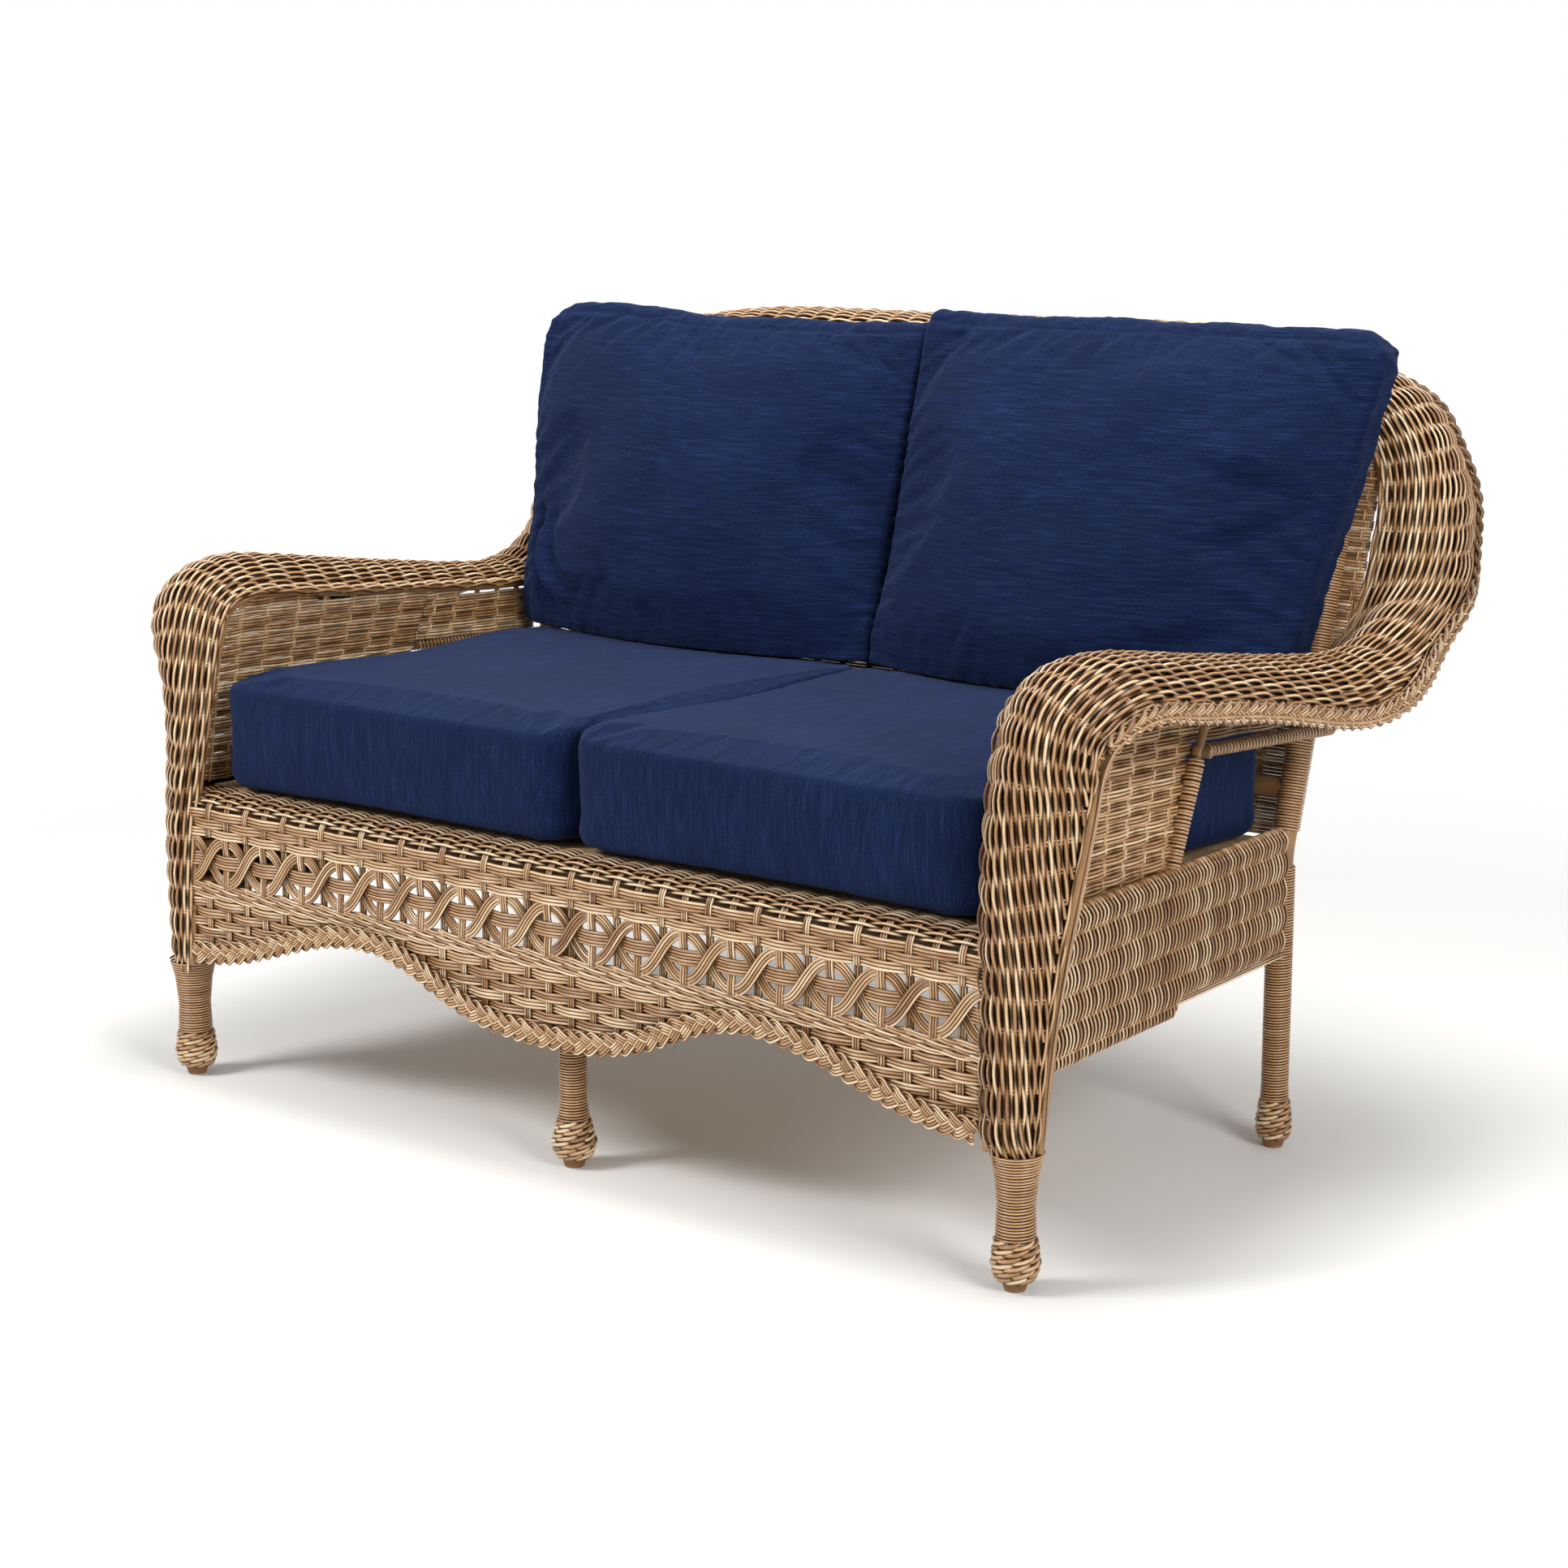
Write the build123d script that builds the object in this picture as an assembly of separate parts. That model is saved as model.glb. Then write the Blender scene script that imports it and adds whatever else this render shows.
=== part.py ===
from build123d import *
import math
import os

os.makedirs("parts", exist_ok=True)

# A two-seat wicker garden settee: a welded tube frame, a woven skin and four loose cushions.
# X runs across the seat, Y runs back, Z is up and the unit is the millimetre.
# Y is measured from the line through the front feet until the parts are centred at the end.

# Driving sizes
half_width = 697
depth = 875
arm_height = 610
back_height = 880
seat_rail_height = 332

# Places of the feet and posts
arm_overhang = 107
rear_leg_tuck = 35
rear_leg_lead = 10
center_leg_y = 18
post_kink_drop = 2
post_bend_radius = 90
post_top_gap = 18
post_hoop_gap = 1.5
lower_crossbar_rise = 66

# Tubes, rods and their running clearances
tube_wall = 1.5
leg_radius = 12.5
rail_radius = 11
crossbar_radius = 8
rim_radius = 5
outer_rim_radius = 4
rail_joint_gap = 3
stay_radius = 4.5
brace_radius = 6
skirt_rod_radius = 4
apron_rod_radius = 4
fit = 0.3
cut_overrun = 5

# Woven skins
skin_wall = 4
braid_radius = 8
deck_wall = 4.5
apron_roll_radius = 26

# Feet: heights over the floor, and how thick the winding lies on the leg
glide_height = 11
glide_flange = 1
glide_taper = 3
waist_height = 88
bulb_top_height = 50
bulb_middle_height = 30
collar_gap = 2.8
collar_wall = 14.5
waist_wall = 6.5
bulb_neck_wall = 7.5
bulb_wall = 12
slim_wall = 2.5
slim_bulb_wall = 6.5

# Cushions
cushion_clearance = 0.5
seat_cushion_thickness = 137
seat_cushion_front = 4
seat_cushion_rear_gap = 7
seat_cushion_side_gap = 1.5
seat_cushion_corner = 42
back_cushion_height = 404
back_cushion_side_gap = 4
back_cushion_border = 46
back_cushion_crown = 74

# Outlines of a seat cushion going up: how far drawn in and how high, as shares of its thickness.
seat_cushion_shares = [
    (0.15, 0.00), (0.06, 0.03), (0.02, 0.08), (0.00, 0.16), (0.00, 0.76), (0.02, 0.84),
    (0.07, 0.90), (0.15, 0.94), (0.30, 0.965), (0.60, 0.985), (1.10, 1.00),
]

# Outlines of a back cushion going up: shares of its height, width, border and crown.
# The last share, of the border, draws the rear face forward.
back_cushion_shares = [
    (0.00, 0.86, 0.60, 0.55, 0.28), (0.03, 0.89, 0.85, 0.80, 0.11), (0.08, 0.905, 1.00, 0.94, 0.03),
    (0.18, 0.92, 1.00, 1.02, 0.00), (0.35, 0.94, 1.00, 1.06, 0.00), (0.52, 0.97, 1.00, 1.00, 0.00),
    (0.68, 0.99, 1.00, 0.84, 0.00), (0.81, 1.00, 1.00, 0.60, 0.00), (0.90, 1.00, 1.00, 0.38, 0.00),
    (0.96, 0.985, 0.93, 0.22, 0.05), (1.00, 0.94, 0.50, 0.08, 0.33),
]
inner_tuck_share = 0.12

# Woven panels
apron_y = -20
apron_dip_height = 154
apron_peak_height = 216
apron_end_height = 158
apron_end_gap = 1.8
side_skirt_rise = 30
side_skirt_front_bottom = 208
side_skirt_rear_bottom = 226
arm_panel_rise = 20
arm_panel_foot_gap = 10
arm_panel_corner_rise = 20

# Arm stay, brace and clamp
stay_foot_y = 291
stay_top_y = 375
stay_top_drop = 63
stay_tuck = 20
brace_drop = 136
brace_rear_drop = 149
brace_tail = 26
clamp_width = 9
clamp_wall = 2.5
clamp_ear = 8
screw_radius = 2
screw_head_radius = 3.5
screw_head_height = 2

# Stations along the woven band from the front foot to the rear end of the arm.
# Each holds the inner rail, two shoulders and the outer rim.
# x is a share of outline_reach, counted in from half_width; y is one of depth and z of arm_height.
outline_reach = 697
crest_share = 0.46
arm_station_shares = [
    ((0.815, -0.021, 0.230), (0.834, -0.031, 0.230), (0.861, -0.022, 0.230), (0.878, 0.007, 0.230)),
    ((0.805, -0.015, 0.525), (0.829, -0.032, 0.525), (0.868, -0.018, 0.525), (0.901, 0.016, 0.525)),
    ((0.790, 0.011, 0.784), (0.822, -0.022, 0.790), (0.872, -0.017, 0.793), (0.931, 0.038, 0.793)),
    ((0.789, 0.041, 0.911), (0.841, 0.009, 0.956), (0.904, 0.006, 0.930), (0.948, 0.051, 0.877)),
    ((0.789, 0.089, 0.934), (0.842, 0.076, 0.990), (0.915, 0.087, 0.979), (0.961, 0.109, 0.907)),
    ((0.790, 0.171, 0.925), (0.844, 0.170, 0.985), (0.918, 0.175, 0.967), (0.967, 0.181, 0.898)),
    ((0.793, 0.286, 0.908), (0.848, 0.286, 0.962), (0.922, 0.288, 0.944), (0.971, 0.291, 0.879)),
    ((0.799, 0.423, 0.892), (0.859, 0.433, 0.936), (0.931, 0.439, 0.910), (0.978, 0.440, 0.843)),
    ((0.806, 0.549, 0.877), (0.869, 0.559, 0.915), (0.940, 0.562, 0.885), (0.989, 0.560, 0.820)),
    ((0.813, 0.642, 0.872), (0.875, 0.642, 0.910), (0.944, 0.642, 0.892), (0.996, 0.642, 0.836)),
]

# Stations from the end of the arm up the wing and along the top of the back.
# z is a share of the rise from arm_height to back_height.
back_station_shares = [
    ((0.813, 0.642, -0.289), (0.875, 0.642, -0.204), (0.944, 0.642, -0.244), (0.996, 0.642, -0.370)),
    ((0.824, 0.701, -0.259), (0.879, 0.693, -0.167), (0.935, 0.701, -0.185), (0.981, 0.718, -0.293)),
    ((0.835, 0.731, -0.167), (0.888, 0.727, -0.089), (0.935, 0.745, -0.096), (0.971, 0.775, -0.178)),
    ((0.846, 0.746, -0.030), (0.905, 0.753, 0.011), (0.956, 0.782, 0.011), (0.976, 0.825, -0.030)),
    ((0.857, 0.754, 0.148), (0.921, 0.767, 0.156), (0.963, 0.807, 0.159), (0.958, 0.859, 0.167)),
    ((0.858, 0.767, 0.333), (0.921, 0.783, 0.344), (0.954, 0.827, 0.359), (0.940, 0.878, 0.374)),
    ((0.844, 0.781, 0.489), (0.900, 0.801, 0.526), (0.921, 0.847, 0.552), (0.897, 0.894, 0.544)),
    ((0.803, 0.792, 0.630), (0.849, 0.817, 0.704), (0.868, 0.866, 0.726), (0.849, 0.909, 0.685)),
    ((0.725, 0.800, 0.733), (0.766, 0.826, 0.826), (0.778, 0.874, 0.852), (0.753, 0.918, 0.793)),
    ((0.617, 0.805, 0.800), (0.646, 0.835, 0.911), (0.651, 0.888, 0.926), (0.631, 0.930, 0.844)),
    ((0.473, 0.807, 0.837), (0.485, 0.843, 0.970), (0.488, 0.899, 0.974), (0.481, 0.942, 0.859)),
    ((0.258, 0.807, 0.852), (0.260, 0.847, 0.985), (0.261, 0.905, 0.978), (0.261, 0.946, 0.837)),
]

# The scalloped edge of the front apron: x is a share of the half apron,
# z a share of the rise from the middle dip to the peak.
apron_edge_shares = [
    (0.00, 0.00), (0.15, 0.09), (0.25, 0.33), (0.35, 0.71), (0.45, 0.97), (0.52, 1.00),
    (0.61, 0.90), (0.71, 0.66), (0.80, 0.40), (0.89, 0.19),
]

bend_share = 0.3
section_spans = 6
nodes = {}


def mirrored(shape):
    return shape.mirror(Plane.YZ)


def both_sides(name, right):
    """Keep a right-hand piece and its mirror image as two parts."""
    nodes[name + "_right"] = right
    nodes[name + "_left"] = mirrored(right)


def outline_x(share):
    return half_width - (1 - share) * outline_reach


def arm_point(share):
    return Vector(outline_x(share[0]), share[1] * depth, share[2] * arm_height)


def back_point(share):
    rise = back_height - arm_height
    return Vector(outline_x(share[0]), share[1] * depth, arm_height + share[2] * rise)


arm_stations = [[arm_point(share) for share in station] for station in arm_station_shares]
right_back_stations = [[back_point(share) for share in station] for station in back_station_shares]
left_back_stations = [[Vector(-p.X, p.Y, p.Z) for p in station] for station in right_back_stations]
back_stations = right_back_stations + left_back_stations[::-1]
inner_arm = [station[0] for station in arm_stations]
outer_arm = [station[3] for station in arm_stations]

# The legs stand under the arms, and the posts lean back until they meet the hoop.
front_leg_x = half_width - arm_overhang
rear_leg_x = front_leg_x - rear_leg_tuck
rear_leg_y = inner_arm[-1].Y - rear_leg_lead
leg_bore_radius = leg_radius - tube_wall
rail_bore_radius = rail_radius - tube_wall
hoop_corner = right_back_stations[7][0]
post_kink_height = seat_rail_height - post_kink_drop
post_top_height = hoop_corner.Z - post_top_gap
post_top_y = hoop_corner.Y - rim_radius - post_hoop_gap - leg_radius
back_rake = (post_top_y - rear_leg_y) / (post_top_height - post_kink_height)


def post_y(height):
    """Where the axis of a rear post lies at a height."""
    return rear_leg_y + back_rake * max(height - post_kink_height, 0)


def side_line_x(y):
    """X of the straight line from a front leg to the rear leg behind it."""
    return front_leg_x + (rear_leg_x - front_leg_x) * y / rear_leg_y


def bend_radii(points):
    """Radii of tangent arcs that keep close to the corners of a path."""
    radii = []
    for before, corner, after in zip(points, points[1:], points[2:]):
        turn = (corner - before).get_angle(after - corner)
        run = min((corner - before).length, (after - corner).length)
        radii.append(bend_share * run / math.tan(math.radians(turn) / 2))
    return radii


def rod(points, radius, bends=None, bore=0):
    """A round rod, or a sleeve with a bore, along straight runs joined by tangent arcs."""
    path = FilletPolyline(*points, radius=bends or bend_radii(points))
    start = Plane(origin=path @ 0, z_dir=path % 0)
    profile = Circle(radius) - Circle(bore) if bore else Circle(radius)
    return sweep(start * profile, path=path)


def shortened(points, gap):
    """The same path, stopped a little short of both its ends."""
    start = points[0] + (points[1] - points[0]).normalized() * gap
    end = points[-1] + (points[-2] - points[-1]).normalized() * gap
    return [start] + points[1:-1] + [end]


def largest(shape):
    return max(shape.solids(), key=lambda solid: solid.volume)


def straight_tube(start, end, radius, bore=0):
    axis = Plane(origin=start, z_dir=end - start)
    profile = Circle(radius) - Circle(bore) if bore else Circle(radius)
    return extrude(axis * profile, (end - start).length)


def cubic(points, share):
    """Point on the cubic that passes four points at even shares of its length."""
    t = 3 * share
    a, b, c, d = t, t - 1, t - 2, t - 3
    weights = (-b * c * d / 6, a * c * d / 2, -a * b * d / 2, a * b * c / 6)
    total = Vector(0, 0, 0)
    for point, weight in zip(points, weights):
        total += point * weight
    return total


def band_section(station, inner_gap, outer_gap):
    """Closed outline of the woven band at one station, a wall thick, short of both rails."""
    length = sum((b - a).length for a, b in zip(station, station[1:]))
    first = inner_gap / length
    last = 1 - outer_gap / length
    shares = [first + (last - first) * k / section_spans for k in range(section_spans + 1)]
    outer = [cubic(station, share) for share in shares]
    middle = outer[section_spans // 2]
    across = (station[3] - station[0]).cross(middle - station[0]).normalized()
    inner = []
    for k, point in enumerate(outer):
        before = outer[max(k - 1, 0)]
        after = outer[min(k + 1, section_spans)]
        inward = across.cross(after - before).normalized()
        if inward.dot((station[0] + station[3]) / 2 - middle) < 0:
            inward = -inward
        inner.append(point + inward * skin_wall)
    inner.reverse()
    edges = []
    for side in (outer, inner):
        for k in range(0, section_spans, 2):
            edges.append(ThreePointArc(side[k], side[k + 1], side[k + 2]))
    edges.append(Line(outer[-1], inner[0]))
    edges.append(Line(inner[-1], outer[0]))
    return Wire(edges)


def band(stations):
    """A woven skin through its stations, between the inner rail and the outer rim."""
    inner_gap = rim_radius + fit
    outer_gap = braid_radius + fit
    wires = [band_section(station, inner_gap, outer_gap) for station in stations]
    return Solid.make_loft(wires, ruled=True)


def slab(sections):
    """A thin woven panel through upright strips, each a lower and an upper point."""
    wires = []
    for lower, upper in sections:
        out = Vector(skin_wall, 0, 0)
        wires.append(Wire.make_polygon([lower, upper, upper + out, lower + out]))
    return Solid.make_loft(wires, ruled=True)


# Legs and seat frame

leg_top = arm_stations[2][0].Z
front_leg = straight_tube(
    Vector(front_leg_x, 0, glide_height), Vector(front_leg_x, 0, leg_top), leg_radius, leg_bore_radius
)
both_sides("front_leg", front_leg)

post_points = [
    Vector(rear_leg_x, rear_leg_y, glide_height),
    Vector(rear_leg_x, rear_leg_y, post_kink_height),
    Vector(rear_leg_x, post_y(post_top_height), post_top_height),
]
both_sides("rear_post", rod(post_points, leg_radius, post_bend_radius, leg_bore_radius))


def leg_space(x, y, top, radius):
    """A solid cylinder over a leg, to cope what butts against it."""
    return straight_tube(Vector(x, y, 0), Vector(x, y, top), radius)


front_cope = leg_space(front_leg_x, 0, leg_top, leg_radius)
rear_cope = rod(post_points, leg_radius, post_bend_radius)
copes = [front_cope, mirrored(front_cope), rear_cope, mirrored(rear_cope)]


def coped(shape):
    for cope in copes:
        shape = shape - cope
    return largest(shape)


def rail_blank(start, end):
    """A solid rail, coped where it butts against the legs."""
    return coped(straight_tube(start, end, rail_radius))


def rail_tube(blank, start, end):
    """The rail itself: its blank, bored from end to end."""
    return largest(blank - straight_tube(start, end, rail_bore_radius))


front_rail_ends = (
    Vector(-front_leg_x, center_leg_y, seat_rail_height), Vector(front_leg_x, center_leg_y, seat_rail_height)
)
rear_rail_ends = (
    Vector(-rear_leg_x, rear_leg_y, seat_rail_height), Vector(rear_leg_x, rear_leg_y, seat_rail_height)
)
side_rail_ends = (
    Vector(front_leg_x, 0, seat_rail_height), Vector(rear_leg_x, rear_leg_y, seat_rail_height)
)
front_rail = rail_blank(*front_rail_ends)
rear_rail = rail_blank(*rear_rail_ends)
side_rail = largest(rail_blank(*side_rail_ends) - front_rail - rear_rail)
nodes["front_seat_rail"] = rail_tube(front_rail, *front_rail_ends)
nodes["rear_seat_rail"] = rail_tube(rear_rail, *rear_rail_ends)
both_sides("side_seat_rail", rail_tube(side_rail, *side_rail_ends))

crossbar_height = seat_rail_height + rail_radius - crossbar_radius
center_leg_top = crossbar_height - crossbar_radius - fit
center_leg = straight_tube(
    Vector(0, center_leg_y, glide_height), Vector(0, center_leg_y, center_leg_top),
    leg_radius, leg_bore_radius,
)
nodes["front_leg_center"] = largest(center_leg - front_rail)

crossbar_half_pitch = front_leg_x / 2
for name, x in (("left", -crossbar_half_pitch), ("center", 0), ("right", crossbar_half_pitch)):
    bar_front = Vector(x, center_leg_y, crossbar_height)
    bar_rear = Vector(x, rear_leg_y, crossbar_height)
    bar = straight_tube(bar_front, bar_rear, crossbar_radius) - front_rail - rear_rail
    nodes["seat_crossbar_" + name] = largest(bar)

deck_bottom = seat_rail_height + rail_radius + fit
deck_top = deck_bottom + deck_wall
deck_front = center_leg_y + rail_radius
deck_rear = rear_leg_y - leg_radius - fit
deck_margin = leg_radius + fit
deck_front_half = side_line_x(deck_front) - deck_margin
deck_rear_half = side_line_x(deck_rear) - deck_margin
deck_outline = Polyline(
    (-deck_front_half, deck_front), (deck_front_half, deck_front),
    (deck_rear_half, deck_rear), (-deck_rear_half, deck_rear), close=True,
)
nodes["seat_deck"] = extrude(Pos(0, 0, deck_bottom) * make_face(deck_outline), deck_wall)

for name, height in (("lower", seat_rail_height + lower_crossbar_rise), ("upper", arm_height)):
    ends = (Vector(-rear_leg_x, post_y(height), height), Vector(rear_leg_x, post_y(height), height))
    nodes["back_crossbar_" + name] = rail_tube(rail_blank(*ends), *ends)


# Feet: a moulded glide under each leg and a wound sleeve with its woven bulb above it

glide_radius = leg_radius + glide_flange


def glide(x, y):
    standing = (Align.CENTER, Align.CENTER, Align.MIN)
    return Pos(x, y, 0) * Cone(glide_radius - glide_taper, glide_radius, glide_height, align=standing)


def leg_wrap(x, y, top, outline):
    """A turned sleeve over a leg; the outline gives radii at rising heights."""
    bore = leg_radius + fit
    points = [(bore, glide_height)] + outline + [(bore, top)]
    profile = make_face(Plane.XZ * Polyline(*points, close=True))
    return Pos(x, y, 0) * revolve(profile, Axis.Z)


def wound(steps):
    """An outline from pairs of winding thickness and height, starting on the glide."""
    return [(glide_radius + fit, glide_height)] + [(leg_radius + wall, height) for wall, height in steps]


collar_height = inner_arm[0].Z - collar_gap
full_outline = wound([
    (bulb_wall, bulb_middle_height), (bulb_neck_wall, bulb_top_height), (waist_wall, waist_height),
    (collar_wall, collar_height),
])
center_top = apron_dip_height + braid_radius
center_outline = wound([
    (bulb_wall, bulb_middle_height), (slim_bulb_wall, bulb_top_height), (slim_wall, waist_height),
    (slim_wall, center_top),
])
rear_top = seat_rail_height - rail_radius - skirt_rod_radius
rear_outline = wound([
    (slim_bulb_wall, bulb_middle_height), (slim_wall, bulb_top_height), (slim_wall, rear_top),
])
slim_wrap_radius = leg_radius + slim_wall
both_sides("front_glide", glide(front_leg_x, 0))
both_sides("rear_glide", glide(rear_leg_x, rear_leg_y))
nodes["center_glide"] = glide(0, center_leg_y)
both_sides("front_leg_wrap", leg_wrap(front_leg_x, 0, collar_height, full_outline))
rear_wrap = leg_wrap(rear_leg_x, rear_leg_y, rear_top, rear_outline)
both_sides("rear_leg_wrap", rear_wrap)
nodes["center_leg_wrap"] = leg_wrap(0, center_leg_y, center_top, center_outline)


# Rails and rims that carry the woven band, and the band itself

both_sides("inner_arm_rail", rod(inner_arm, rim_radius))
both_sides("outer_arm_rim", rod(outer_arm, outer_rim_radius))
both_sides("arm_braid", rod(outer_arm, braid_radius, bore=outer_rim_radius + fit))
inner_back = shortened([station[0] for station in back_stations], rail_joint_gap)
outer_back = shortened([station[3] for station in back_stations], rail_joint_gap)
nodes["back_inner_hoop"] = rod(inner_back, rim_radius)
nodes["back_outer_rim"] = rod(outer_back, outer_rim_radius)
nodes["back_braid"] = rod(outer_back, braid_radius, bore=outer_rim_radius + fit)

arm_skin = band(arm_stations) - rod(inner_arm, rim_radius + fit) - rod(outer_arm, braid_radius + fit)
both_sides("arm_roll", largest(arm_skin))
back_hoop_space = rod(inner_back, rim_radius + fit)
back_skin = largest(band(back_stations) - back_hoop_space - rod(outer_back, braid_radius + fit))

# The back's skin meets itself edge to edge where the crest turns down into the wings.
crest_half = crest_share * half_width
crest_block = Box(2 * crest_half, 3 * depth, 3 * back_height)
wing_block = Pos(crest_half + half_width, 0, 0) * Box(2 * half_width, 3 * depth, 3 * back_height)
nodes["back_roll_crest"] = largest(back_skin & crest_block)
both_sides("back_roll_wing", largest(back_skin & wing_block))


# Front apron: a flat woven panel, a roll back over the seat rail and a scalloped braided hem

apron_half = arm_stations[1][0].X - rim_radius - apron_end_gap


def apron_edge():
    """Points of the scalloped hem from the right end to the left end."""
    rise = apron_peak_height - apron_dip_height
    points = [Vector(x * apron_half, apron_y, apron_dip_height + z * rise) for x, z in apron_edge_shares]
    points.append(Vector(apron_half - fit, apron_y, apron_end_height))
    left = [Vector(-p.X, p.Y, p.Z) for p in points[1:]]
    return points[::-1] + left


hem = apron_edge()
nodes["apron_rod"] = rod(hem, apron_rod_radius)
nodes["apron_braid"] = rod(hem, braid_radius, bore=apron_rod_radius + fit)

roll_top = deck_top
roll_center = roll_top - apron_roll_radius
face_y = apron_y - skin_wall / 2
roll_axis_y = face_y + apron_roll_radius
roll_rear = deck_front - fit
quarter = apron_roll_radius * math.sqrt(0.5)
inner_radius = apron_roll_radius - skin_wall
inner_quarter = inner_radius * math.sqrt(0.5)
apron_profile = Plane.YZ * make_face([
    Line((face_y, apron_dip_height), (face_y, roll_center)),
    ThreePointArc(
        (face_y, roll_center), (roll_axis_y - quarter, roll_center + quarter), (roll_axis_y, roll_top)
    ),
    Line((roll_axis_y, roll_top), (roll_rear, roll_top)),
    Line((roll_rear, roll_top), (roll_rear, roll_top - skin_wall)),
    Line((roll_rear, roll_top - skin_wall), (roll_axis_y, roll_top - skin_wall)),
    ThreePointArc(
        (roll_axis_y, roll_top - skin_wall), (roll_axis_y - inner_quarter, roll_center + inner_quarter),
        (face_y + skin_wall, roll_center)
    ),
    Line((face_y + skin_wall, roll_center), (face_y + skin_wall, apron_dip_height)),
    Line((face_y + skin_wall, apron_dip_height), (face_y, apron_dip_height)),
])
apron = extrude(apron_profile, apron_half, both=True)
below = [(p.X, p.Z + braid_radius + fit) for p in hem]
below[0] = (apron_half + cut_overrun, below[0][1])
below[-1] = (-apron_half - cut_overrun, below[-1][1])
below += [(-apron_half - cut_overrun, 0), (apron_half + cut_overrun, 0)]
hem_cut = extrude(Plane.XZ * make_face(Polyline(*below, close=True)), depth, both=True)
nodes["front_apron"] = largest(apron - hem_cut - rod(hem, braid_radius + fit))


# Side skirts over three rods between the front and rear legs

def skirt_line(y, offset):
    """A point beside the line between the legs, offset outward."""
    return side_line_x(y) + offset


skirt_offset = rail_radius + fit
side_skirt_top = seat_rail_height + side_skirt_rise
skirt_front_y = leg_radius + 2 * skirt_rod_radius
skirt_rear_y = rear_leg_y - slim_wrap_radius - fit
skirt_sections = []
for y, bottom in (
    (skirt_front_y, side_skirt_front_bottom), (stay_foot_y - clamp_width, side_skirt_front_bottom),
    (stay_foot_y, side_skirt_rear_bottom), (skirt_rear_y, side_skirt_rear_bottom),
):
    x = skirt_line(y, skirt_offset)
    skirt_sections.append((Vector(x, y, bottom), Vector(x, y, side_skirt_top)))
both_sides("side_skirt", slab(skirt_sections))

rod_levels = (
    side_skirt_rear_bottom + skirt_rod_radius,
    (side_skirt_rear_bottom + seat_rail_height - rail_radius) / 2,
    seat_rail_height - rail_radius - 2 * skirt_rod_radius,
)
rods = []
for level in rod_levels:
    offset = skirt_offset - skirt_rod_radius - fit
    line = straight_tube(
        Vector(skirt_line(0, offset), 0, level),
        Vector(skirt_line(rear_leg_y, offset), rear_leg_y, level), skirt_rod_radius,
    )
    line = line - front_cope - leg_space(rear_leg_x, rear_leg_y, seat_rail_height, slim_wrap_radius + fit)
    rods.append(largest(line))
both_sides("side_skirt_rods", Compound(rods))


# Arm stay, its brace to the rear post, the clamp that joins them, and the two clamps' screws as one group

stay_foot = Vector(side_line_x(stay_foot_y), stay_foot_y, seat_rail_height)
stay_top = Vector(front_leg_x - stay_tuck, stay_top_y, arm_height - stay_top_drop)
brace_height = arm_height - brace_drop
brace_rear_height = arm_height - brace_rear_drop
both_sides("arm_stay", largest(straight_tube(stay_foot, stay_top, stay_radius) - side_rail))


def stay_at(height):
    share = (height - stay_foot.Z) / (stay_top.Z - stay_foot.Z)
    return stay_foot + (stay_top - stay_foot) * share


brace_y = post_y(brace_rear_height)
brace_x = rear_leg_x + leg_radius + brace_radius + fit
clamp_center = stay_at(brace_height)
stay_direction = (stay_top - stay_foot).normalized()
clamp_plane = Plane(origin=clamp_center - stay_direction * (clamp_width / 2), z_dir=stay_direction)
clamp_radius = stay_radius + fit + clamp_wall
ring = extrude(clamp_plane * (Circle(clamp_radius) - Circle(stay_radius + fit)), clamp_width)
brace_start_y = clamp_center.Y + clamp_radius + clamp_wall
brace_end = Vector(brace_x, brace_y + brace_tail, brace_rear_height)
brace_start = Vector(clamp_center.X, brace_start_y, clamp_center.Z)
both_sides("arm_brace", straight_tube(brace_start, brace_end, brace_radius))
ear_x = clamp_center.X + clamp_radius + clamp_ear / 2 - fit
ear = Pos(ear_x, clamp_center.Y, clamp_center.Z) * Box(clamp_ear, 2 * clamp_wall, clamp_width)
hole = Pos(ear_x, clamp_center.Y, clamp_center.Z) * (Rot(90, 0, 0) * Cylinder(screw_radius + fit, depth))
both_sides("stay_clamp", largest((ring + ear) - straight_tube(stay_foot, stay_top, stay_radius + fit) - hole))
shank = Cylinder(screw_radius, 2 * clamp_wall)
head = Pos(0, 0, clamp_wall + screw_head_height / 2) * Cylinder(screw_head_radius, screw_head_height)
screw = largest(Pos(ear_x, clamp_center.Y, clamp_center.Z) * (Rot(90, 0, 0) * (shank + head)))
nodes["clamp_screws"] = Compound([screw, mirrored(screw)])


# Arm panels hang from the inner arm rail, with a narrow strip on behind the stay

def arm_rail_at(y):
    """Point of the inner arm rail at a distance back, above the corner of the arm."""
    run = inner_arm[3:]
    for before, after in zip(run, run[1:]):
        if before.Y <= y <= after.Y:
            return before + (after - before) * ((y - before.Y) / (after.Y - before.Y))
    return run[-1]


panel_drop = rim_radius + apron_end_gap
arm_panel_bottom = seat_rail_height + arm_panel_rise
foot = inner_arm[1]
corner = inner_arm[3]
panel_front_low = Vector(foot.X + rim_radius, foot.Y + arm_panel_foot_gap, arm_panel_bottom)
panel_front_high = Vector(corner.X, corner.Y - rim_radius, inner_arm[2].Z + arm_panel_corner_rise)
panel_sections = [(panel_front_low, panel_front_high)]
for y in (inner_arm[4].Y, inner_arm[5].Y, inner_arm[6].Y):
    top = arm_rail_at(y)
    low_x = side_line_x(y) - rail_radius
    low = Vector(low_x, y, arm_panel_bottom)
    panel_sections.append((low, Vector(top.X, y, top.Z - panel_drop)))
panel_end_gap = stay_radius + skin_wall
end_low = stay_at(arm_panel_bottom)
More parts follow.
